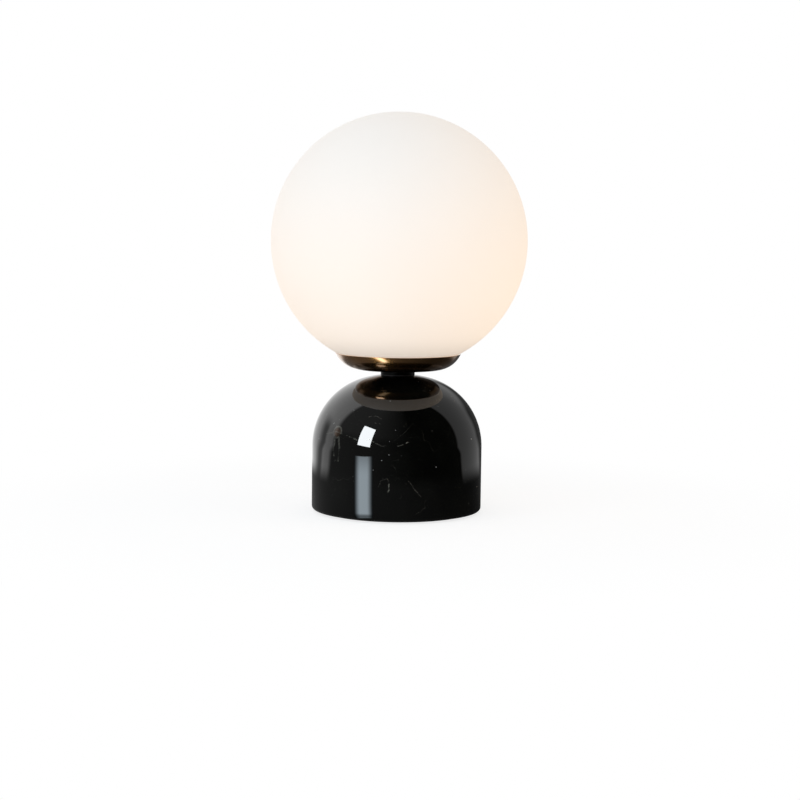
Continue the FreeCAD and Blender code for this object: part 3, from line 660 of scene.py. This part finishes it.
def laid_back(shape, height):
    """Turns an upright shape so that its axis runs along +Y at a height: (x, y, z) to (x, z, height - y)."""
    points, faces = shape
    return np.column_stack([points[:, 0], points[:, 2], height - points[:, 1]]), faces


RECESS_RADIUS, RECESS_TOP, TUBE_HOLE = 38 * MM, 17 * MM, 5.2 * MM
CABLE_HEIGHT, CABLE_HOLE, FLANGE_SINK, SINK_DEPTH = 9 * MM, 4.2 * MM, 6.2 * MM, 2.2 * MM
DRILL_START, DRILL_END = 30 * MM, 60 * MM
join = math.degrees(math.atan2(shoulder_z - crown_z, SHOULDER_OFFSET))
seat = math.degrees(math.acos(SEAT_RADIUS / CROWN_RADIUS))
lower_edge = rounded(
    [(RECESS_RADIUS, stone_low), (stone_radius, stone_low), (stone_radius, shoulder_z)],
    [0.5 * MM, 2.3 * MM, 0], 12,
)[:-1]
wall = np.column_stack([np.full(18, stone_radius), np.linspace(lower_edge[-1, 1], shoulder_z, 19)[1:]])
profile = np.concatenate([
    lower_edge,
    wall,
    arc((SHOULDER_OFFSET, shoulder_z), shoulder, 0, join, 48)[1:],
    arc((0, crown_z), CROWN_RADIUS, join, seat, 16)[1:],
    [(TUBE_HOLE, stone_high), (TUBE_HOLE, RECESS_TOP), (RECESS_RADIUS, RECESS_TOP)],
])
dome = fit("marble_dome", "stone_base", [turned(profile, 256)], "black_stone")
drilled(
    dome,
    laid_back(rod(CABLE_HOLE, DRILL_START, DRILL_END), CABLE_HEIGHT),
    laid_back(rod(FLANGE_SINK, stone_radius - SINK_DEPTH, DRILL_END), CABLE_HEIGHT),
)
print("shoulder arc %.1f mm, crown arc %.1f mm" % (shoulder / MM, CROWN_RADIUS / MM))

# %% [markdown]
# ## What clamps the lamp together
# A hollow threaded tube runs from the base to the bulb holder. Nuts and washers clamp the stone, the
# neck and the dish on it. The thread is a ripple of the radius that climbs one pitch in each turn, so
# the whole tube is one grid whose radius depends on both height and angle. A nut is a grid as well:
# its radius at an angle is half the width over flats divided by the cosine of the angle from the
# middle of the nearest flat, and its upper and lower edges are cut by a cone.

# %% Tube, nuts and washers
THREAD_PITCH, THREAD_DEPTH, THREAD_PARTS = 1.0 * MM, 0.45 * MM, 40
TUBE_BORE, NUT_BORE, NUT_FLATS, NUT_PARTS = 4 * MM, 5 * MM, 14 * MM, 96


def threaded_tube(node, bore, pitch, depth):
    """Outer radius r at height z and angle a: R - depth * |2 s - 1|, where s is the fractional part
    of z / pitch - a / (2 pi). The thread runs out over the last half pitch at both ends."""
    low, high, reach = heights(node)
    angle = np.linspace(0, 2 * np.pi, THREAD_PARTS, endpoint=False)
    z = np.linspace(low, high, int((high - low) / pitch * 5))[:, None]
    wave = np.abs(2 * np.mod(z / pitch - angle / (2 * np.pi), 1) - 1)
    ends = np.clip(np.minimum(z - low, high - z) / (0.5 * pitch), 0, 1)
    outer = reach - depth * np.maximum(wave, 0.9 * (1 - ends))
    inner = np.full((1, THREAD_PARTS), bore)
    radius = np.concatenate([inner, outer, inner])
    height = np.concatenate([[[low]], z, [[high]]]) * np.ones(THREAD_PARTS)
    return ring_grid(radius, height, THREAD_PARTS)


def hex_nut(node, bore, flats):
    """A nut with both faces bevelled at 30 degrees."""
    low, high, _ = heights(node)
    angle = np.linspace(0, 360, NUT_PARTS, endpoint=False)
    off = np.radians(np.mod(angle, 60) - 30)
    outer = flats / 2 / np.cos(off)
    face = 0.97 * flats / 2
    drop = (outer - face) * math.tan(math.radians(30))
    lead = 0.35 * MM
    rows = [
        (bore, low + lead), (bore + lead, low), (face, low), (outer, low + drop),
        (outer, high - drop), (face, high), (bore + lead, high), (bore, high - lead),
    ]
    every = np.ones(NUT_PARTS)
    return ring_grid([r * every for r, z in rows], [z * every for r, z in rows], NUT_PARTS)


tube = threaded_tube("threaded_tube", TUBE_BORE, THREAD_PITCH, THREAD_DEPTH)
fit("lamp_tube", "threaded_tube", [tube], "zinc_steel", crease=60)
for name, node in (("lower_nut", "base_nut"), ("middle_nut", "dish_nut"), ("upper_nut", "bracket_nut")):
    fit(name, node, [hex_nut(node, NUT_BORE, NUT_FLATS)], "zinc_steel")
for name, node, bore, edge in (
    ("steel_clamp_plate", "clamp_plate", TUBE_HOLE, 0.3 * MM),
    ("sprung_washer", "spring_washer", TUBE_HOLE, 0.25 * MM),
    ("steel_washer", "dish_washer", TUBE_HOLE, 0.2 * MM),
    ("spring_plate", "gallery_plate", TUBE_HOLE, 0.2 * MM),
):
    fit(name, node, [flat_ring(node, bore, edge)], "zinc_steel")
fit("foam_foot", "foot_pad", [flat_ring("foot_pad", 0.0, 0.35 * MM, 160)], "foot_foam")

# %% [markdown]
# ## Bushes and grommet
# Plastic bushes keep the wires off the tube's ends, and a rubber grommet lines the cable hole. Each is
# a sleeve with a flange, so one profile serves all three.


# %% Bushes and grommet
BUSH_BORE, BUSH_SLEEVE, BUSH_FLANGE = 3.2 * MM, 3.95 * MM, 0.8 * MM
GROMMET_BORE, GROMMET_SLEEVE, GROMMET_FLANGE = 3 * MM, 4.15 * MM, 1.7 * MM


def flanged_bush(bore, sleeve, flange, start, step, end, edge=0.25 * MM, parts=72):
    """A sleeve from start to step and a wider flange from step to end, along the axis."""
    corners = [(bore, start), (sleeve, start), (sleeve, step), (flange, step), (flange, end), (bore, end)]
    return turned(rounded(corners, [edge, edge, 0.05 * MM, edge, edge, edge]), parts)


for end in ("lower", "upper"):
    low, high, reach = heights(f"{end}_bush")
    inner, rim, inwards = (high, low, 1) if end == "lower" else (low, high, -1)
    bush = flanged_bush(BUSH_BORE, BUSH_SLEEVE, reach, inner, rim + inwards * BUSH_FLANGE, rim)
    fit(f"{end}_wire_bush", f"{end}_bush", [bush], "white_nylon")
low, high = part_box("cable_grommet")
flange = (high.x, low.y, high.y - GROMMET_FLANGE, high.y)
grommet = flanged_bush(GROMMET_BORE, GROMMET_SLEEVE, *flange, 0.45 * MM)
fit("cable_bush", "cable_grommet", [laid_back(grommet, CABLE_HEIGHT)], "black_rubber")

# %% [markdown]
# ## Neck and dish
# The neck is a black spacer on a thin soft ring, its tone darkened past black paint as painted shade
# under the dish. The dish is spun from 1.2 mm sheet: a flat middle, a shallow floor, and a side that
# turns up in one arc. The same arc, one sheet thickness further in, makes the inside, and the rim is
# cut back to follow the glass.

# %% Neck and dish
fit("neck_soft_ring", "neck_gasket", [flat_ring("neck_gasket", TUBE_HOLE, 0.12 * MM, 128)], "black_rubber")
# the neck's near-black finish also paints the shade that falls under the dish
fit("neck_ring", "neck_spacer", [flat_ring("neck_spacer", TUBE_HOLE, 0.3 * MM, 128)], "black_metal")

DISH_SHEET, DISH_BEND, DISH_SLOPE, DISH_RISE = 1.2 * MM, 15.3 * MM, 12.0, 1.5 * MM
DISH_SEAT, DISH_FLOOR, GLASS_GAP = 11 * MM, 26 * MM, 0.3 * MM
dish_low, dish_high, _ = heights("fitter_dish")
globe_low, globe_high, globe_radius = heights("globe")
globe_z = globe_high - globe_radius
bend_r = DISH_FLOOR - DISH_BEND * math.sin(math.radians(DISH_SLOPE))
bend_z = dish_low + DISH_RISE + DISH_BEND * math.cos(math.radians(DISH_SLOPE))
rim_turn = -math.degrees(math.asin((bend_z - dish_high) / DISH_BEND))
outside = arc((bend_r, bend_z), DISH_BEND, DISH_SLOPE - 90, rim_turn, 40)
inside = arc((bend_r, bend_z), DISH_BEND - DISH_SHEET, rim_turn + 6, DISH_SLOPE - 90, 60)
clear = np.hypot(inside[:, 0], inside[:, 1] - globe_z) > globe_radius + GLASS_GAP
inside = inside[clear]
corners = np.concatenate([
    [(TUBE_HOLE, dish_low), (DISH_SEAT, dish_low)],
    outside,
    inside,
    [(DISH_SEAT, dish_low + DISH_SHEET), (TUBE_HOLE, dish_low + DISH_SHEET)],
])
edges = np.zeros(len(corners))
edges[1], edges[-2] = 3 * MM, 3 * MM
edges[1 + len(outside)], edges[2 + len(outside)] = 0.3 * MM, 0.15 * MM
fit("brass_dish", "fitter_dish", [turned(rounded(corners, edges), 192)], "aged_brass")
print("dish rim %.2f mm up, side arc ends at %.1f degrees" % (dish_high / MM, rim_turn))

# %% [markdown]
# ## The globe
# Opal globes are blown into a mould, cut off at the neck and fire polished, which leaves a rounded
# lip. The profile is one closed line: out along the lip, round the outer sphere to the top, and back
# down the inner sphere, which is how a wall of even thickness stays closed.

# %% Globe and its cushion
WALL, MOUTH, LIP_EDGE, LIP_STEPS = 3 * MM, 30 * MM, 1.2 * MM, 8
outer_cut = -math.degrees(math.acos(MOUTH / globe_radius))
inner_cut = -math.degrees(math.acos((MOUTH - WALL) / (globe_radius - WALL)))
outer_sphere = arc((0, globe_z), globe_radius, outer_cut, 90, 90)
inner_sphere = arc((0, globe_z), globe_radius - WALL, 90, inner_cut, 80)
outer_sphere[-1, 0] = inner_sphere[0, 0] = 0.0
lip_corners = [(MOUTH - WALL, globe_low), (MOUTH, globe_low), outer_sphere[0], inner_sphere[-1]]
lip = rounded(lip_corners, [LIP_EDGE, LIP_EDGE, 0, 0], LIP_STEPS)[:2 * LIP_STEPS]
profile = np.concatenate([lip, outer_sphere, inner_sphere])
fit("opal_globe", "globe", [turned(profile, 192)], "opal_glass", "globe_shade", crease=50)

CUSHION_IN, CUSHION_OUT = 31.4 * MM, 34.2 * MM


def on_dish(radius):
    """Height of the dish's inside at a radius, with a hair's gap: the side arc's lower half."""
    return bend_z - math.sqrt((DISH_BEND - DISH_SHEET - 0.05 * MM) ** 2 - (radius - bend_r) ** 2)


def under_glass(radius):
    """Height of the sphere that clears the glass at a radius."""
    return globe_z - math.sqrt((globe_radius + GLASS_GAP) ** 2 - radius**2)


corners = [(CUSHION_IN, on_dish(CUSHION_IN)), (CUSHION_OUT, on_dish(CUSHION_OUT)),
           (CUSHION_OUT, under_glass(CUSHION_OUT)), (CUSHION_IN, under_glass(CUSHION_IN))]
fit("silicone_ring", "globe_cushion", [turned(rounded(corners, 0.3 * MM), 160)], "clear_silicone")

# %% [markdown]
# ## Leaf springs and bracket
# Both are bent from strip, so both are a flat rounded section carried along a path that lies in one
# plane. The path gives each row its place, its direction of travel and, turned a quarter, the way the
# strip faces.


# %% Bent strip
def bent_strip(path, width, sheet, turn=0.0):
    """Carries a strip's section along a path of (across, up) points: a section point (p, q) goes to
    path + q * normal, and p to the side, where the normal is the path's direction turned by 90
    degrees. The ends are closed by a point in the middle of the section. turn is about the z axis."""
    path = np.asarray(path, float)
    along = np.gradient(path, axis=0)
    along /= np.linalg.norm(along, axis=1)[:, None]
    normal = np.column_stack([-along[:, 1], along[:, 0]])
    half, thick = width / 2, sheet / 2
    section = rounded([(-half, -thick), (half, -thick), (half, thick), (-half, thick)], 0.3 * sheet, 3)
    rows = path[:, None, :] + section[None, :, 1:2] * normal[:, None, :]
    side = np.broadcast_to(section[None, :, 0], rows.shape[:2])
    points = np.stack([rows[..., 0], side, rows[..., 1]], axis=-1)
    ends = [np.broadcast_to(points[row].mean(axis=0), points[row].shape)[None] for row in (0, -1)]
    points = np.concatenate([ends[0], points, ends[1]])
    cos, sin = math.cos(turn), math.sin(turn)
    spun = points @ np.array([[cos, sin, 0], [-sin, cos, 0], [0, 0, 1]])
    return spun.reshape(-1, 3), grid_faces(len(points), len(section))


def eased(corners, radius, step=0.25 * MM):
    """An open path with rounded bends, and points spread evenly along it."""
    closed = rounded(corners, [0, *([radius] * (len(corners) - 2)), 0], 7)
    gaps = np.linalg.norm(np.diff(closed, axis=0), axis=1)
    keep = np.concatenate([[True], gaps > 1e-9])
    closed = closed[keep]
    run = np.concatenate([[0], np.cumsum(np.linalg.norm(np.diff(closed, axis=0), axis=1))])
    spread = np.linspace(0, run[-1], max(int(run[-1] / step), 8))
    return np.column_stack([np.interp(spread, run, closed[:, axis]) for axis in (0, 1)])


PLATE_TOP, STRIP_BEND = 89.2 * MM, 0.9 * MM
SPRING_WIDTH, SPRING_SHEET, BRACKET_WIDTH, BRACKET_SHEET = 7 * MM, 0.4 * MM, 14 * MM, 1.2 * MM
SPRING_TURNS = (90, 210, 330)
spring = np.array([(17.5, 0.2), (25.2, 0.2), (26.5, 2.8), (23.9, 10.0)])
spring = eased(spring * MM + (0, PLATE_TOP), STRIP_BEND)
for number, turn in enumerate(SPRING_TURNS, start=1):
    leaf = bent_strip(spring, SPRING_WIDTH, SPRING_SHEET, math.radians(turn))
    fit(f"leaf_spring_{number}", f"gallery_spring_{number}", [leaf], "spring_steel", crease=40)

bracket = np.array([(8.5, 16.4), (14.4, 16.4), (14.4, 0.6), (-14.4, 0.6), (-14.4, 16.4), (-8.5, 16.4)])
bracket = eased(bracket * MM + (0, PLATE_TOP), STRIP_BEND)
bracket = bent_strip(bracket, BRACKET_WIDTH, BRACKET_SHEET)
fit("steel_bracket", "holder_bracket", [bracket], "zinc_steel", crease=40)

# %% Rivets
rivet_low, rivet_high, _ = heights("gallery_rivets")
head, shank, thick, circle = 1.7 * MM, 0.9 * MM, 0.5 * MM, 19.8 * MM
rivet = rounded(
    [(0, rivet_low), (head, rivet_low), (head, rivet_low + thick), (shank, rivet_low + thick),
     (shank, rivet_high - thick), (head, rivet_high - thick), (head, rivet_high), (0, rivet_high)],
    [0, 0.3 * MM, 0, 0, 0, 0, 0.4 * MM, 0], 5,
)
spots = [(circle * math.cos(t), circle * math.sin(t)) for t in np.radians(SPRING_TURNS)]
fit("plate_rivets", "gallery_rivets",
    [moved(turned(rivet, 32, joined=False), *spot) for spot in spots], "rivet_brass")

# %% [markdown]
# ## Ceramic holder
# The socket for a two-pin bulb is pressed from steatite: a flange with two screws, and a block with
# two holes. It is lofted: each row is a rounded rectangle with its own width, depth, corner and
# height, and the rows near an edge step in along a small arc.


# %% Holder
PIN_OFFSET, SCREW_OFFSET = 4.5 * MM, 11.5 * MM
PIN_HOLE, SCREW_HOLE = 1.6 * MM, 1.65 * MM
BELOW_HOLDER, ABOVE_HOLDER, ABOVE_FLANGE = 100 * MM, 140 * MM, 111.5 * MM


def rounded_plan(half_width, half_depth, corner, steps=10):
    """A rounded rectangle seen from above, always with the same number of points."""
    sides = ((1, -1), (1, 1), (-1, 1), (-1, -1))
    return rounded([(x * half_width, y * half_depth) for x, y in sides], corner, steps)


def lofted(rows):
    """Stacks rounded rectangles, (half width, half depth, corner, height), and closes both ends."""
    plans = [np.column_stack([rounded_plan(w, d, c), np.full(40, z)]) for w, d, c, z in rows]
    plans = [plans[0] * (0, 0, 1)] + plans + [plans[-1] * (0, 0, 1)]
    return np.concatenate(plans), grid_faces(len(plans), 40)


def step_in(half_width, half_depth, corner, height, size, rising=True):
    """Rows along a quarter arc that rounds the upper or lower edge of a block."""
    turn = np.radians(np.linspace(0, 90, 6))
    rows = [(size * (1 - math.cos(t)), size * (1 - math.sin(t))) for t in turn]
    sign = -1 if rising else 1
    rows = [(half_width - i, half_depth - i, max(corner - i, 0.2 * MM), height + sign * drop)
            for i, drop in rows]
    return rows if rising else rows[::-1]


flange_low, holder_top, _ = heights("holder_body")
flange_top = flange_low + 4 * MM
holder = lofted(
    step_in(15 * MM, 7 * MM, 2 * MM, flange_low, 0.4 * MM, rising=False)
    + step_in(15 * MM, 7 * MM, 2 * MM, flange_top, 0.5 * MM)
    + [(8.6 * MM, 6.9 * MM, 2.6 * MM, flange_top), (8.5 * MM, 7.0 * MM, 3 * MM, flange_top + 0.1 * MM),
       (8.5 * MM, 7.5 * MM, 3 * MM, flange_top + 0.5 * MM)]
    + step_in(8.5 * MM, 7.5 * MM, 3 * MM, holder_top, 0.8 * MM)
)
socket = fit("ceramic_socket", "holder_body", [holder], "white_ceramic")
pin_hole = rod(PIN_HOLE, BELOW_HOLDER, ABOVE_HOLDER, 40)
screw_hole = rod(SCREW_HOLE, BELOW_HOLDER, ABOVE_FLANGE, 40)
pin_holes = [moved(pin_hole, side * PIN_OFFSET) for side in (-1, 1)]
screw_holes = [moved(screw_hole, side * SCREW_OFFSET) for side in (-1, 1)]
drilled(socket, *pin_holes, *screw_holes)

bore, outer = 0.8 * MM, 1.55 * MM
for side, name in ((-1, "left"), (1, "right")):
    node = f"holder_contact_{name}"
    low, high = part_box(node)
    corners = [(bore, low.z), (outer, low.z), (outer, high.z), (bore, high.z)]
    sleeve = moved(turned(rounded(corners, 0.15 * MM), 40), side * PIN_OFFSET)
    fit(f"spring_contact_{name}", node, [sleeve], "contact_bronze")

# %% Holder screws
low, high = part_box("holder_screws")
shank, head, seat_z = 1.5 * MM, 2.6 * MM, high.z - 1.8 * MM
screw = rounded(
    [(0, low.z), (shank, low.z), (shank, seat_z), (head, seat_z), (head, high.z), (0, high.z)],
    [0, 0.4 * MM, 0, 0.2 * MM, 0.9 * MM, 0], 7,
)
sides = (-SCREW_OFFSET, SCREW_OFFSET)
screws = fit("holder_slot_screws", "holder_screws",
             [moved(turned(screw, 48, joined=False), side) for side in sides], "zinc_steel")


def slot_cutter(side):
    """A thin block across a screw's head, turned a little, as tightening left it."""
    half_length, half_width, low_z, high_z = 3.2 * MM, 0.4 * MM, high.z - 0.8 * MM, high.z + 1 * MM
    plan = np.array([(-1, -1), (1, -1), (1, 1), (-1, 1)]) * (half_length, half_width)
    turn = 0.6 if side > 0 else -0.35
    plan = plan @ np.array([[math.cos(turn), math.sin(turn)], [-math.sin(turn), math.cos(turn)]])
    rows = [np.column_stack([plan * share, np.full(4, z)]) for share, z in
            ((0, low_z), (1, low_z), (1, high_z), (0, high_z))]
    return moved((np.concatenate(rows), grid_faces(4, 4)), side)


drilled(screws, *[slot_cutter(side) for side in sides])

# %% [markdown]
# ## The bulb
# A two-pin capsule bulb: a white base with grip ribs, two nickel pins, and a clear domed cover over a
# board of light-emitting chips. The ribs are again a ripple of the radius, a cosine of the angle,
# faded in and out along the height.

# %% Bulb
RIBS, RIB_DEPTH, BASE_PARTS, BULB_WALL, PIN_RADIUS = 24, 0.35 * MM, 192, 0.8 * MM, 0.5 * MM
base_low, base_high, base_reach = heights("bulb_base")
side = np.linspace(base_low + 2.2 * MM, base_high - 1.6 * MM, 16)
angle = np.linspace(0, 2 * np.pi, BASE_PARTS, endpoint=False)
fade = np.clip(np.minimum(side - side[0], side[-1] - side) / (1.2 * MM), 0, 1)[:, None]
ripple = base_reach - RIB_DEPTH * fade * (0.5 - 0.5 * np.cos(RIBS * angle))
foot = rounded(
    [(0, base_low), (6.5 * MM, base_low), (base_reach, base_low + 1.5 * MM), (base_reach, base_high)],
    [0, 0.5 * MM, 0.4 * MM, 0], 5,
)[:-1]
top = np.array([(base_reach - 0.02 * MM, base_high), (0, base_high)])
every = np.ones(BASE_PARTS)
radius = np.concatenate([foot[:, :1] * every, ripple, top[:, :1] * every])
height = np.concatenate([foot[:, 1:] * every, side[:, None] * every, top[:, 1:] * every])
fit("bulb_foot", "bulb_base", [ring_grid(radius, height, BASE_PARTS, joined=False)], "bulb_white", "bulb")

low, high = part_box("bulb_pins")
tip = arc((0, low.z + PIN_RADIUS), PIN_RADIUS, -80, 0, 6)
pin = np.concatenate([[(0, low.z)], tip, [(PIN_RADIUS, high.z), (0, high.z)]])
pins = [moved(turned(pin, 24, joined=False), side * PIN_OFFSET) for side in (-1, 1)]
fit("bulb_pin_pair", "bulb_pins", pins, "pin_nickel", "bulb")

low, high, reach = heights("bulb_cover")
outside = np.concatenate([[(reach, low)], arc((0, high - reach), reach, 0, 90, 24)])
inner = reach - BULB_WALL
inside = np.concatenate([arc((0, high - reach), inner, 90, 0, 24), [(inner, low)]])
outside[-1, 0] = inside[0, 0] = 0.0
fit("bulb_dome", "bulb_cover", [turned(np.concatenate([outside, inside]), 96)], "bulb_clear", "bulb")

for name, finish in (("bulb_board", "circuit_board"), ("bulb_chips", "light_chip")):
    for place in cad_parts[name].material_slots:
        place.material = FINISHES[finish]

# %% [markdown]
# ## The studio
# The floor and the world are white where the camera sees them, and the lamp keeps a faint shadow. What
# a polished black stone shows is its surroundings, so these are arranged as a photographer would:
# pale behind on the left, grey on the right, dark in front, one window high on the left, and the lit
# strip of table under it.

# %% Surroundings
WALLS = [  # from and to in degrees from the front, negative to the left; level low down and high up
    (-180, -135, 1.2, 1.4),  # pale wall behind the lamp on the left
    (-122, -116, 0.4, 1.5),  # a doorway in it
    (-111, -99, 1.2, 1.6),  # pale wall beside the window
    (-92, -40, 0.14, 0.25),  # dim room in front of the lamp
    (20, 89, 0.012, 0.012),  # unlit room on the right
    (92, 135, 0.5, 0.5),  # grey wall on the right
    (145, 170, 0.08, 0.6),  # dark corner with light over it
]
BRIGHTEST = 1.6


def make_surround():
    """Level of the studio walls in a direction. The turn about the z axis from straight behind the
    lamp is carried to 0..1 and looked up in two ramps, and the rise sets the share of each."""
    tree, given = group("surround", [("Vector", "Vector", None)], [("Level", "Float")])
    way = split(tree, vectors(tree, "NORMALIZE", given["Vector"]))
    turn = maths(tree, "ARCTAN2", maths(tree, "MULTIPLY", way[0], -1.0), way[1])
    share = maths(tree, "FRACT", maths(tree, "ADD", maths(tree, "DIVIDE", turn, 2 * math.pi), 1.0))
    levels = []
    for row in (2, 3):
        edges = [(degrees, wall[row]) for wall in WALLS for degrees in wall[:2]]
        edges.append((180, WALLS[0][row]))
        ramp = put(tree, "ValToRGB", {0: share})
        stops = ramp.color_ramp.elements
        for degrees, level in edges[1:-1]:
            stops.new((degrees + 180) / 360)
        for stop, (degrees, level) in zip(stops, edges):
            stop.color = (*[level / BRIGHTEST] * 3, 1)
        levels.append(maths(tree, "MULTIPLY", ramp.outputs[0], BRIGHTEST))
    rise = smooth(tree, way[2], 0.2, 0.42)
    return close_group(tree, Level=blend(tree, rise, *levels))


SURROUND_GROUP = make_surround()


def stage_mesh(name, corners, finish, **seen):
    """A flat stage piece, from its corners, and which rays see it."""
    mesh = bpy.data.meshes.new(name)
    mesh.from_pydata([tuple(corner) for corner in corners], [], [tuple(range(len(corners)))])
    mesh.materials.append(finish)
    made = add_object(name, mesh)
    for ray, shown in seen.items():
        setattr(made, "visible_" + ray, shown)
    return made


def stage_finish(name):
    """An empty material for a piece of the studio, and its tree."""
    finish = bpy.data.materials.new(name)
    finish.use_nodes = True
    finish.node_tree.nodes.clear()
    return finish, finish.node_tree


def emission(tree, strength, colour=(1, 1, 1)):
    return put(tree, "Emission", {"Color": (*colour, 1), "Strength": strength}).outputs[0]


def show(tree, surface, kind="Material"):
    """Makes a shader the surface of a material, or the world's."""
    tree.links.new(surface, put(tree, "Output" + kind).inputs["Surface"])


FLOOR_RADIUS, FLOOR_Z = 6, -0.2 * MM
FLOOR_SHARE, FLOOR_LIGHT = 0.45, 0.46  # part of the floor that is lit, and the light that falls on it


def floor_finish():
    """White for the camera: near the lamp a part of it is lit, so that a shadow shows, and the rest is
    its own. Reflections see a dark table near the lamp, and beyond it the surroundings' level."""
    finish, tree = stage_finish("studio_floor")
    place = put(tree, "TexCoord").outputs["Object"]
    ray = put(tree, "LightPath").outputs
    level = use(tree, SURROUND_GROUP, Vector=place)["Level"]
    distance = vectors(tree, "LENGTH", place, output="Value")
    near = smooth(tree, distance, 0.08, 0.3, 1.0, 0.0)
    grey = blend_colour(tree, near, (0, 0, 0), (FLOOR_SHARE, FLOOR_SHARE, FLOOR_SHARE))
    lit = put(tree, "BsdfDiffuse", {"Color": grey}).outputs[0]
    own = maths(tree, "SUBTRACT", 1.0, maths(tree, "MULTIPLY", near, FLOOR_SHARE * FLOOR_LIGHT))
    shown = put(tree, "AddShader", {0: lit, 1: emission(tree, own)}).outputs[0]
    bounce = put(tree, "BsdfDiffuse", {"Color": (0.8, 0.8, 0.8, 1)}).outputs[0]
    side = split(tree, vectors(tree, "NORMALIZE", place))[0]
    table = maths(tree, "MULTIPLY_ADD", side, -0.07, 0.1)
    mirror = emission(tree, blend(tree, smooth(tree, distance, 0.17, 0.26), table, level))
    seen = put(tree, "MixShader", {0: ray["Is Camera Ray"], 1: bounce, 2: shown}).outputs[0]
    show(tree, put(tree, "MixShader", {0: ray["Is Glossy Ray"], 1: seen, 2: mirror}).outputs[0])
    return finish


def glowing(name, colour, strength):
    """A plain luminous card."""
    finish, tree = stage_finish(name)
    show(tree, emission(tree, strength, colour))
    return finish


turns = np.linspace(0, 2 * np.pi, 96, endpoint=False)
edge = [(FLOOR_RADIUS * math.cos(t), FLOOR_RADIUS * math.sin(t), FLOOR_Z) for t in turns]
stage_mesh("floor", edge, floor_finish())

# %% [markdown]
# The window and the strip of table are cards that only mirror-like rays see, so they show in the stone
# and the brass without lighting the scene twice. A card's corner is given by its direction from the
# lamp, which is how a highlight on a curved surface is planned.


# %% Window and lamps
def towards(turn, rise, distance):
    """A point in a direction: turn from the front to the right and rise over the table, in degrees."""
    turn, rise = math.radians(turn), math.radians(rise)
    flat = math.cos(rise) * distance
    return Vector((math.sin(turn) * flat, -math.cos(turn) * flat, math.sin(rise) * distance))


STRIP_START = Vector((-2.0, -31.4, 1.0)) * MM
STRIP_TURN, STRIP_HALF, STRIP_CORE = -45.7, 13.5, 4.5  # degrees: middle, half its spread, half its core
STRIP_ENDS = (0.025, 0.33)  # distances in m from the strip's apex


def strip_finish():
    """Window light on the table: strongest along the middle line, fading to both sides and ends."""
    finish, tree = stage_finish("table_light")
    place = put(tree, "TexCoord").outputs["Object"]
    way = split(tree, vectors(tree, "SUBTRACT", place, STRIP_START))
    turn = maths(tree, "ARCTAN2", way[0], maths(tree, "MULTIPLY", way[1], -1.0))
    off = maths(tree, "ABSOLUTE", maths(tree, "SUBTRACT", turn, math.radians(STRIP_TURN)))
    level = smooth(tree, off, math.radians(STRIP_CORE), math.radians(STRIP_HALF), 7.6, 0.15)
    far = vectors(tree, "DISTANCE", place, STRIP_START, output="Value")
    level = maths(tree, "MULTIPLY", level, smooth(tree, far, 0.2, 0.33, 1.0, 0.6))
    level = maths(tree, "MULTIPLY", level, smooth(tree, far, 0.034, 0.052, 0.3, 1.0))
    show(tree, emission(tree, level, (0.78, 0.91, 1.0)))
    return finish


ONLY_GLOSS = {"camera": False, "diffuse": False, "transmission": False, "shadow": False}
window_eye = Vector((-17, -45.6, 49.2)) * MM
window = [window_eye + towards(turn, rise, 1.5) for turn, rise in
          ((-55.0, 6.5), (-36.5, 4.5), (-32.5, 32.5), (-53.0, 35.5))]
stage_mesh("window_card", window, glowing("window_light", (0.93, 0.97, 1.0), 24.0), **ONLY_GLOSS)
near_end, far_end = STRIP_ENDS
strip = [STRIP_START + towards(STRIP_TURN + side * STRIP_HALF, 0, far) for side, far in
         ((-1, near_end), (-1, far_end), (1, far_end), (1, near_end))]
stage_mesh("table_strip", strip, strip_finish(), **ONLY_GLOSS)

LAMPS = [  # name, turn, rise, distance in m, size in m, power in W, colour
    ("key", -50, 18, 1.6, 0.9, 2.8, (0.6, 0.8, 1.0)),
    ("front", -12, 25, 1.6, 0.9, 3.0, (0.6, 0.8, 1.0)),
    ("warm_fill", 84, 2, 1.5, 0.9, 4.0, (1.0, 0.6, 0.26)),
]
AIM = Vector((0, 0, 0.12))
for name, turn, rise, distance, size, power, colour in LAMPS:
    lamp = bpy.data.lights.new(name, "AREA")
    lamp.shape, lamp.size, lamp.energy, lamp.color = "DISK", size, power, colour
    made = add_object(name, lamp)
    made.location = AIM + towards(turn, rise, distance)
    made.rotation_euler = (AIM - made.location).to_track_quat("-Z", "Y").to_euler()
    made.visible_glossy = False

# %% World
WORLD_LIGHT = 0.3
world = bpy.data.worlds.new("studio")
bpy.context.scene.world = world
world.use_nodes = True
tree = world.node_tree
tree.nodes.clear()
way = put(tree, "TexCoord").outputs["Generated"]
ray = put(tree, "LightPath").outputs
level = use(tree, SURROUND_GROUP, Vector=way)["Level"]
seen = maths(tree, "MAXIMUM", ray["Is Camera Ray"], ray["Is Transmission Ray"])
strength = blend(tree, ray["Is Glossy Ray"], WORLD_LIGHT, level)
strength = blend(tree, seen, strength, 1.0)
sky = put(tree, "Background", {"Color": (1, 1, 1, 1), "Strength": strength}).outputs[0]
show(tree, sky, "World")

# %% [markdown]
# ## Camera
# A pinhole camera fitted to the photograph's outlines: 1.2 m in front of the lamp, a little above the
# dish, tipped down by six degrees and turned by less than one about its own line of sight.

# %% Camera
PICTURE, FOCAL_PIXELS, TIP, ROLL = 800, 2046.6, 0.103, 0.012
STAND = (1.53 * MM, -1.2, 189.9 * MM)
lens = bpy.data.cameras.new("camera")
lens.sensor_width = 36.0
lens.lens = FOCAL_PIXELS / PICTURE * lens.sensor_width
lens.clip_start = 0.05
camera = add_object("camera", lens)
stand = Matrix.Translation(STAND)
camera.matrix_world = stand @ Matrix.Rotation(math.pi / 2 - TIP, 4, "X") @ Matrix.Rotation(ROLL, 4, "Z")
bpy.context.scene.camera = camera
bpy.context.scene.view_settings.view_transform = "Standard"
